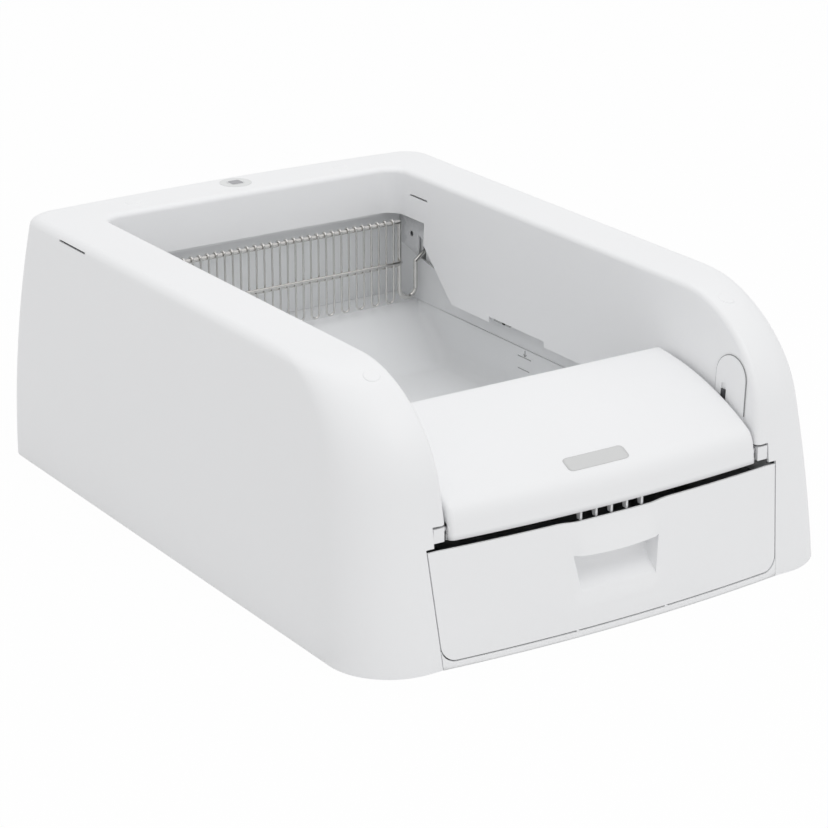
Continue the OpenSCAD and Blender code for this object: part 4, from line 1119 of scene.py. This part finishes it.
# Cross rod in front of the tines, with ends that turn back to the side wires
ROD_WIRE = 0.0018
ROD_Z = 0.154
ROD_TURN = 0.004
ROD_HALF = RAKE_HALF - ROD_TURN
ROD_GAP = 0.0001
ROD_Y = RAKE_Y - RAIL_WIRE - 2 * TINE_WIRE - ROD_WIRE - ROD_GAP
ROD_SIDES = 12
ROD_STEPS = 8
rod = bmesh.new()
for side in (-1, 1):
    upright = Matrix.Translation((0.0, ROD_Y, ROD_Z)) @ Matrix.Rotation(math.pi / 2, 4, "Y")
    ring = bmesh.ops.create_circle(rod, segments=ROD_SIDES, radius=ROD_WIRE, matrix=upright)["verts"]
    drawn = bmesh.ops.extrude_edge_only(rod, edges=list({e for v in ring for e in v.link_edges}))["geom"]
    ring = [v for v in drawn if isinstance(v, bmesh.types.BMVert)]
    bmesh.ops.translate(rod, verts=ring, vec=(side * ROD_HALF, 0.0, 0.0))
    bmesh.ops.spin(
        rod,
        geom=ring + [e for e in drawn if isinstance(e, bmesh.types.BMEdge)],
        cent=(side * ROD_HALF, ROD_Y + ROD_TURN, ROD_Z),
        axis=(0, 0, 1),
        angle=side * math.pi / 2,
        steps=ROD_STEPS,
        use_merge=False,
    )
bmesh.ops.remove_doubles(rod, verts=rod.verts, dist=SLACK)
bmesh.ops.holes_fill(rod, edges=[e for e in rod.edges if e.is_boundary], sides=ROD_SIDES)
bmesh.ops.recalc_face_normals(rod, faces=rod.faces)
piece("cross_rod", rod, stainless, "rake")


# Button and bezel: two pale plastic mouldings in the round hole of the rear rim. They keep their CAD shape,
# and a square grey key with round corners lies on the button.
KEY_HALF = 0.0066
KEY_CORNER = 0.0026
KEY_LOW = 0.2533
KEY_HEIGHT = 0.0005
KEY_SOFT = 0.0002
KEY_STEPS = 8
KEY_LEAD = 0.01
bezel_white = moulded_plastic("bezel_white", (0.74, 0.75, 0.75), 0.46)
dress(bezel_white, "start_button", "button_bezel")
key_grey = moulded_plastic("key_grey", (0.36, 0.36, 0.38), 0.42)
key = bmesh.new()
outline = []
for quarter in range(4):
    middle = (quarter + 0.5) * math.pi / 2
    reach = KEY_HALF - KEY_CORNER
    centre = (math.copysign(reach, math.cos(middle)), BUTTON_Y + math.copysign(reach, math.sin(middle)))
    first = middle - math.pi / 4 - KEY_LEAD
    outline += round_corner(centre, KEY_CORNER, first, middle + math.pi / 4, KEY_STEPS)
pad = key.faces.new([key.verts.new((p.x, p.y, KEY_LOW)) for p in outline])
push(key, pad, (0, 0, KEY_HEIGHT))
bmesh.ops.recalc_face_normals(key, faces=key.faces)
button_key = piece("button_key", key, key_grey, "button")
soften(button_key, KEY_SOFT)


# Inner and hidden pieces in their CAD shape: dark mouldings of the drive, the inlet and the end switches,
# rubber feet and belts, and the motor, shaft, screws and pins in zinc-plated steel.
dark_plastic = moulded_plastic("dark_plastic", (0.03, 0.03, 0.033), 0.42)
dress(dark_plastic, "gearbox_case", "dc_inlet", "end_switches")
dress(dark_plastic, "drive_pulley_left", "drive_pulley_right")
dress(moulded_plastic("foot_rubber", (0.045, 0.045, 0.045), 0.72, 900.0, 0.00008), "rubber_feet")
dress(moulded_plastic("belt_rubber", (0.42, 0.42, 0.43), 0.62, 900.0, 0.00006), "belt_left", "belt_right")
zinc = bright_steel("zinc_steel", (0.56, 0.56, 0.57), 0.30)
dress(zinc, "drive_motor", "drive_shaft", "frame_screws", "lid_hinge_pins")


# Cat sensors: small grey plastic housings at the notches of the inner panels. The window of the beam is
# black and glossy.
WINDOW_Y = 0.081
WINDOW_Z = 0.1322
WINDOW_RADIUS = 0.0030
sensor_grey, tree = finish("sensor_grey")
place = tree.node("ShaderNodeTexCoord", {}, {}, "Object")
along = tree.node("ShaderNodeSeparateXYZ", {}, {"Vector": place}, "Y") - WINDOW_Y
up = tree.node("ShaderNodeSeparateXYZ", {}, {"Vector": place}, "Z") - WINDOW_Z
window = tree.calculate("LESS_THAN", along * along + up * up, WINDOW_RADIUS**2)
colour = window.blend((0.42, 0.425, 0.43), (0.01, 0.01, 0.012))
surface(tree, Base_Color=colour, Roughness=0.45 - 0.3 * window)
dress(sensor_grey, "cat_sensors")


# Control board: a thin board under the button, with the switch that the button presses. Green lacquer
# covers its fine copper tracks.
board_green, tree = finish("board_green")
place = tree.node("ShaderNodeTexCoord", {}, {}, "Object")
tracks = tree.node("ShaderNodeTexVoronoi", {"distance": "MANHATTAN"}, {"Vector": place, "Scale": 420.0})
colour = tracks.blend((0.02, 0.12, 0.05), (0.03, 0.18, 0.08))
surface(tree, Base_Color=colour, Roughness=0.35)
dress(board_green, "control_board")


# Floor: a plain white studio floor. The camera and reflections see it near white, and it keeps a faint
# shadow.
FLOOR_HALF = 6.0
FLOOR_GLOW = 0.97
floor_mesh = bmesh.new()
bmesh.ops.create_grid(floor_mesh, x_segments=1, y_segments=1, size=FLOOR_HALF)
floor_data = bpy.data.meshes.new("floor")
floor_mesh.to_mesh(floor_data)
floor_mesh.free()
floor = bpy.data.objects.new("floor", floor_data)
scene.collection.objects.link(floor)
floor_white, tree = finish("floor_white")
seen = tree.node("ShaderNodeLightPath", {}, {}, "Is Camera Ray")
mirrored = tree.node("ShaderNodeLightPath", {}, {}, "Is Glossy Ray")
glow = tree.node("ShaderNodeEmission", {}, {"Color": (1.0, 1.0, 1.0, 1.0), "Strength": 1.0})
paint = tree.node("ShaderNodeBsdfDiffuse", {}, {"Color": (0.8, 0.8, 0.8, 1.0)})
mixed = tree.node("ShaderNodeMixShader", {}, {0: (seen + mirrored) * FLOOR_GLOW, 1: paint, 2: glow})
tree.node("ShaderNodeOutputMaterial", {}, {"Surface": mixed})
floor_data.materials.append(floor_white)


# Light: a white room and two round soft lamps. The large one hangs high in front, a little to the right,
# and the small weak one hangs over the rear of the box.
ROOM_STRENGTH = 0.79
world = bpy.data.worlds.new("studio")
scene.world = world
world.use_nodes = True
world.node_tree.nodes["Background"].inputs["Color"].default_value = (1.0, 1.0, 1.0, 1.0)
world.node_tree.nodes["Background"].inputs["Strength"].default_value = ROOM_STRENGTH


def lamp(name, place, aim, size, power):
    made = bpy.data.objects.new(name, bpy.data.lights.new(name, "AREA"))
    made.data.shape = "DISK"
    made.data.size = size
    made.data.energy = power
    made.location = place
    made.rotation_euler = (Vector(aim) - Vector(place)).to_track_quat("-Z", "Y").to_euler()
    scene.collection.objects.link(made)


lamp("key", place=(0.3, -2.5, 4.0), aim=(0.0, 0.0, 0.1), size=3.0, power=36.0)
lamp("top", place=(0.0, 0.3, 1.5), aim=(0.0, 0.2, 0.1), size=0.9, power=1.8)
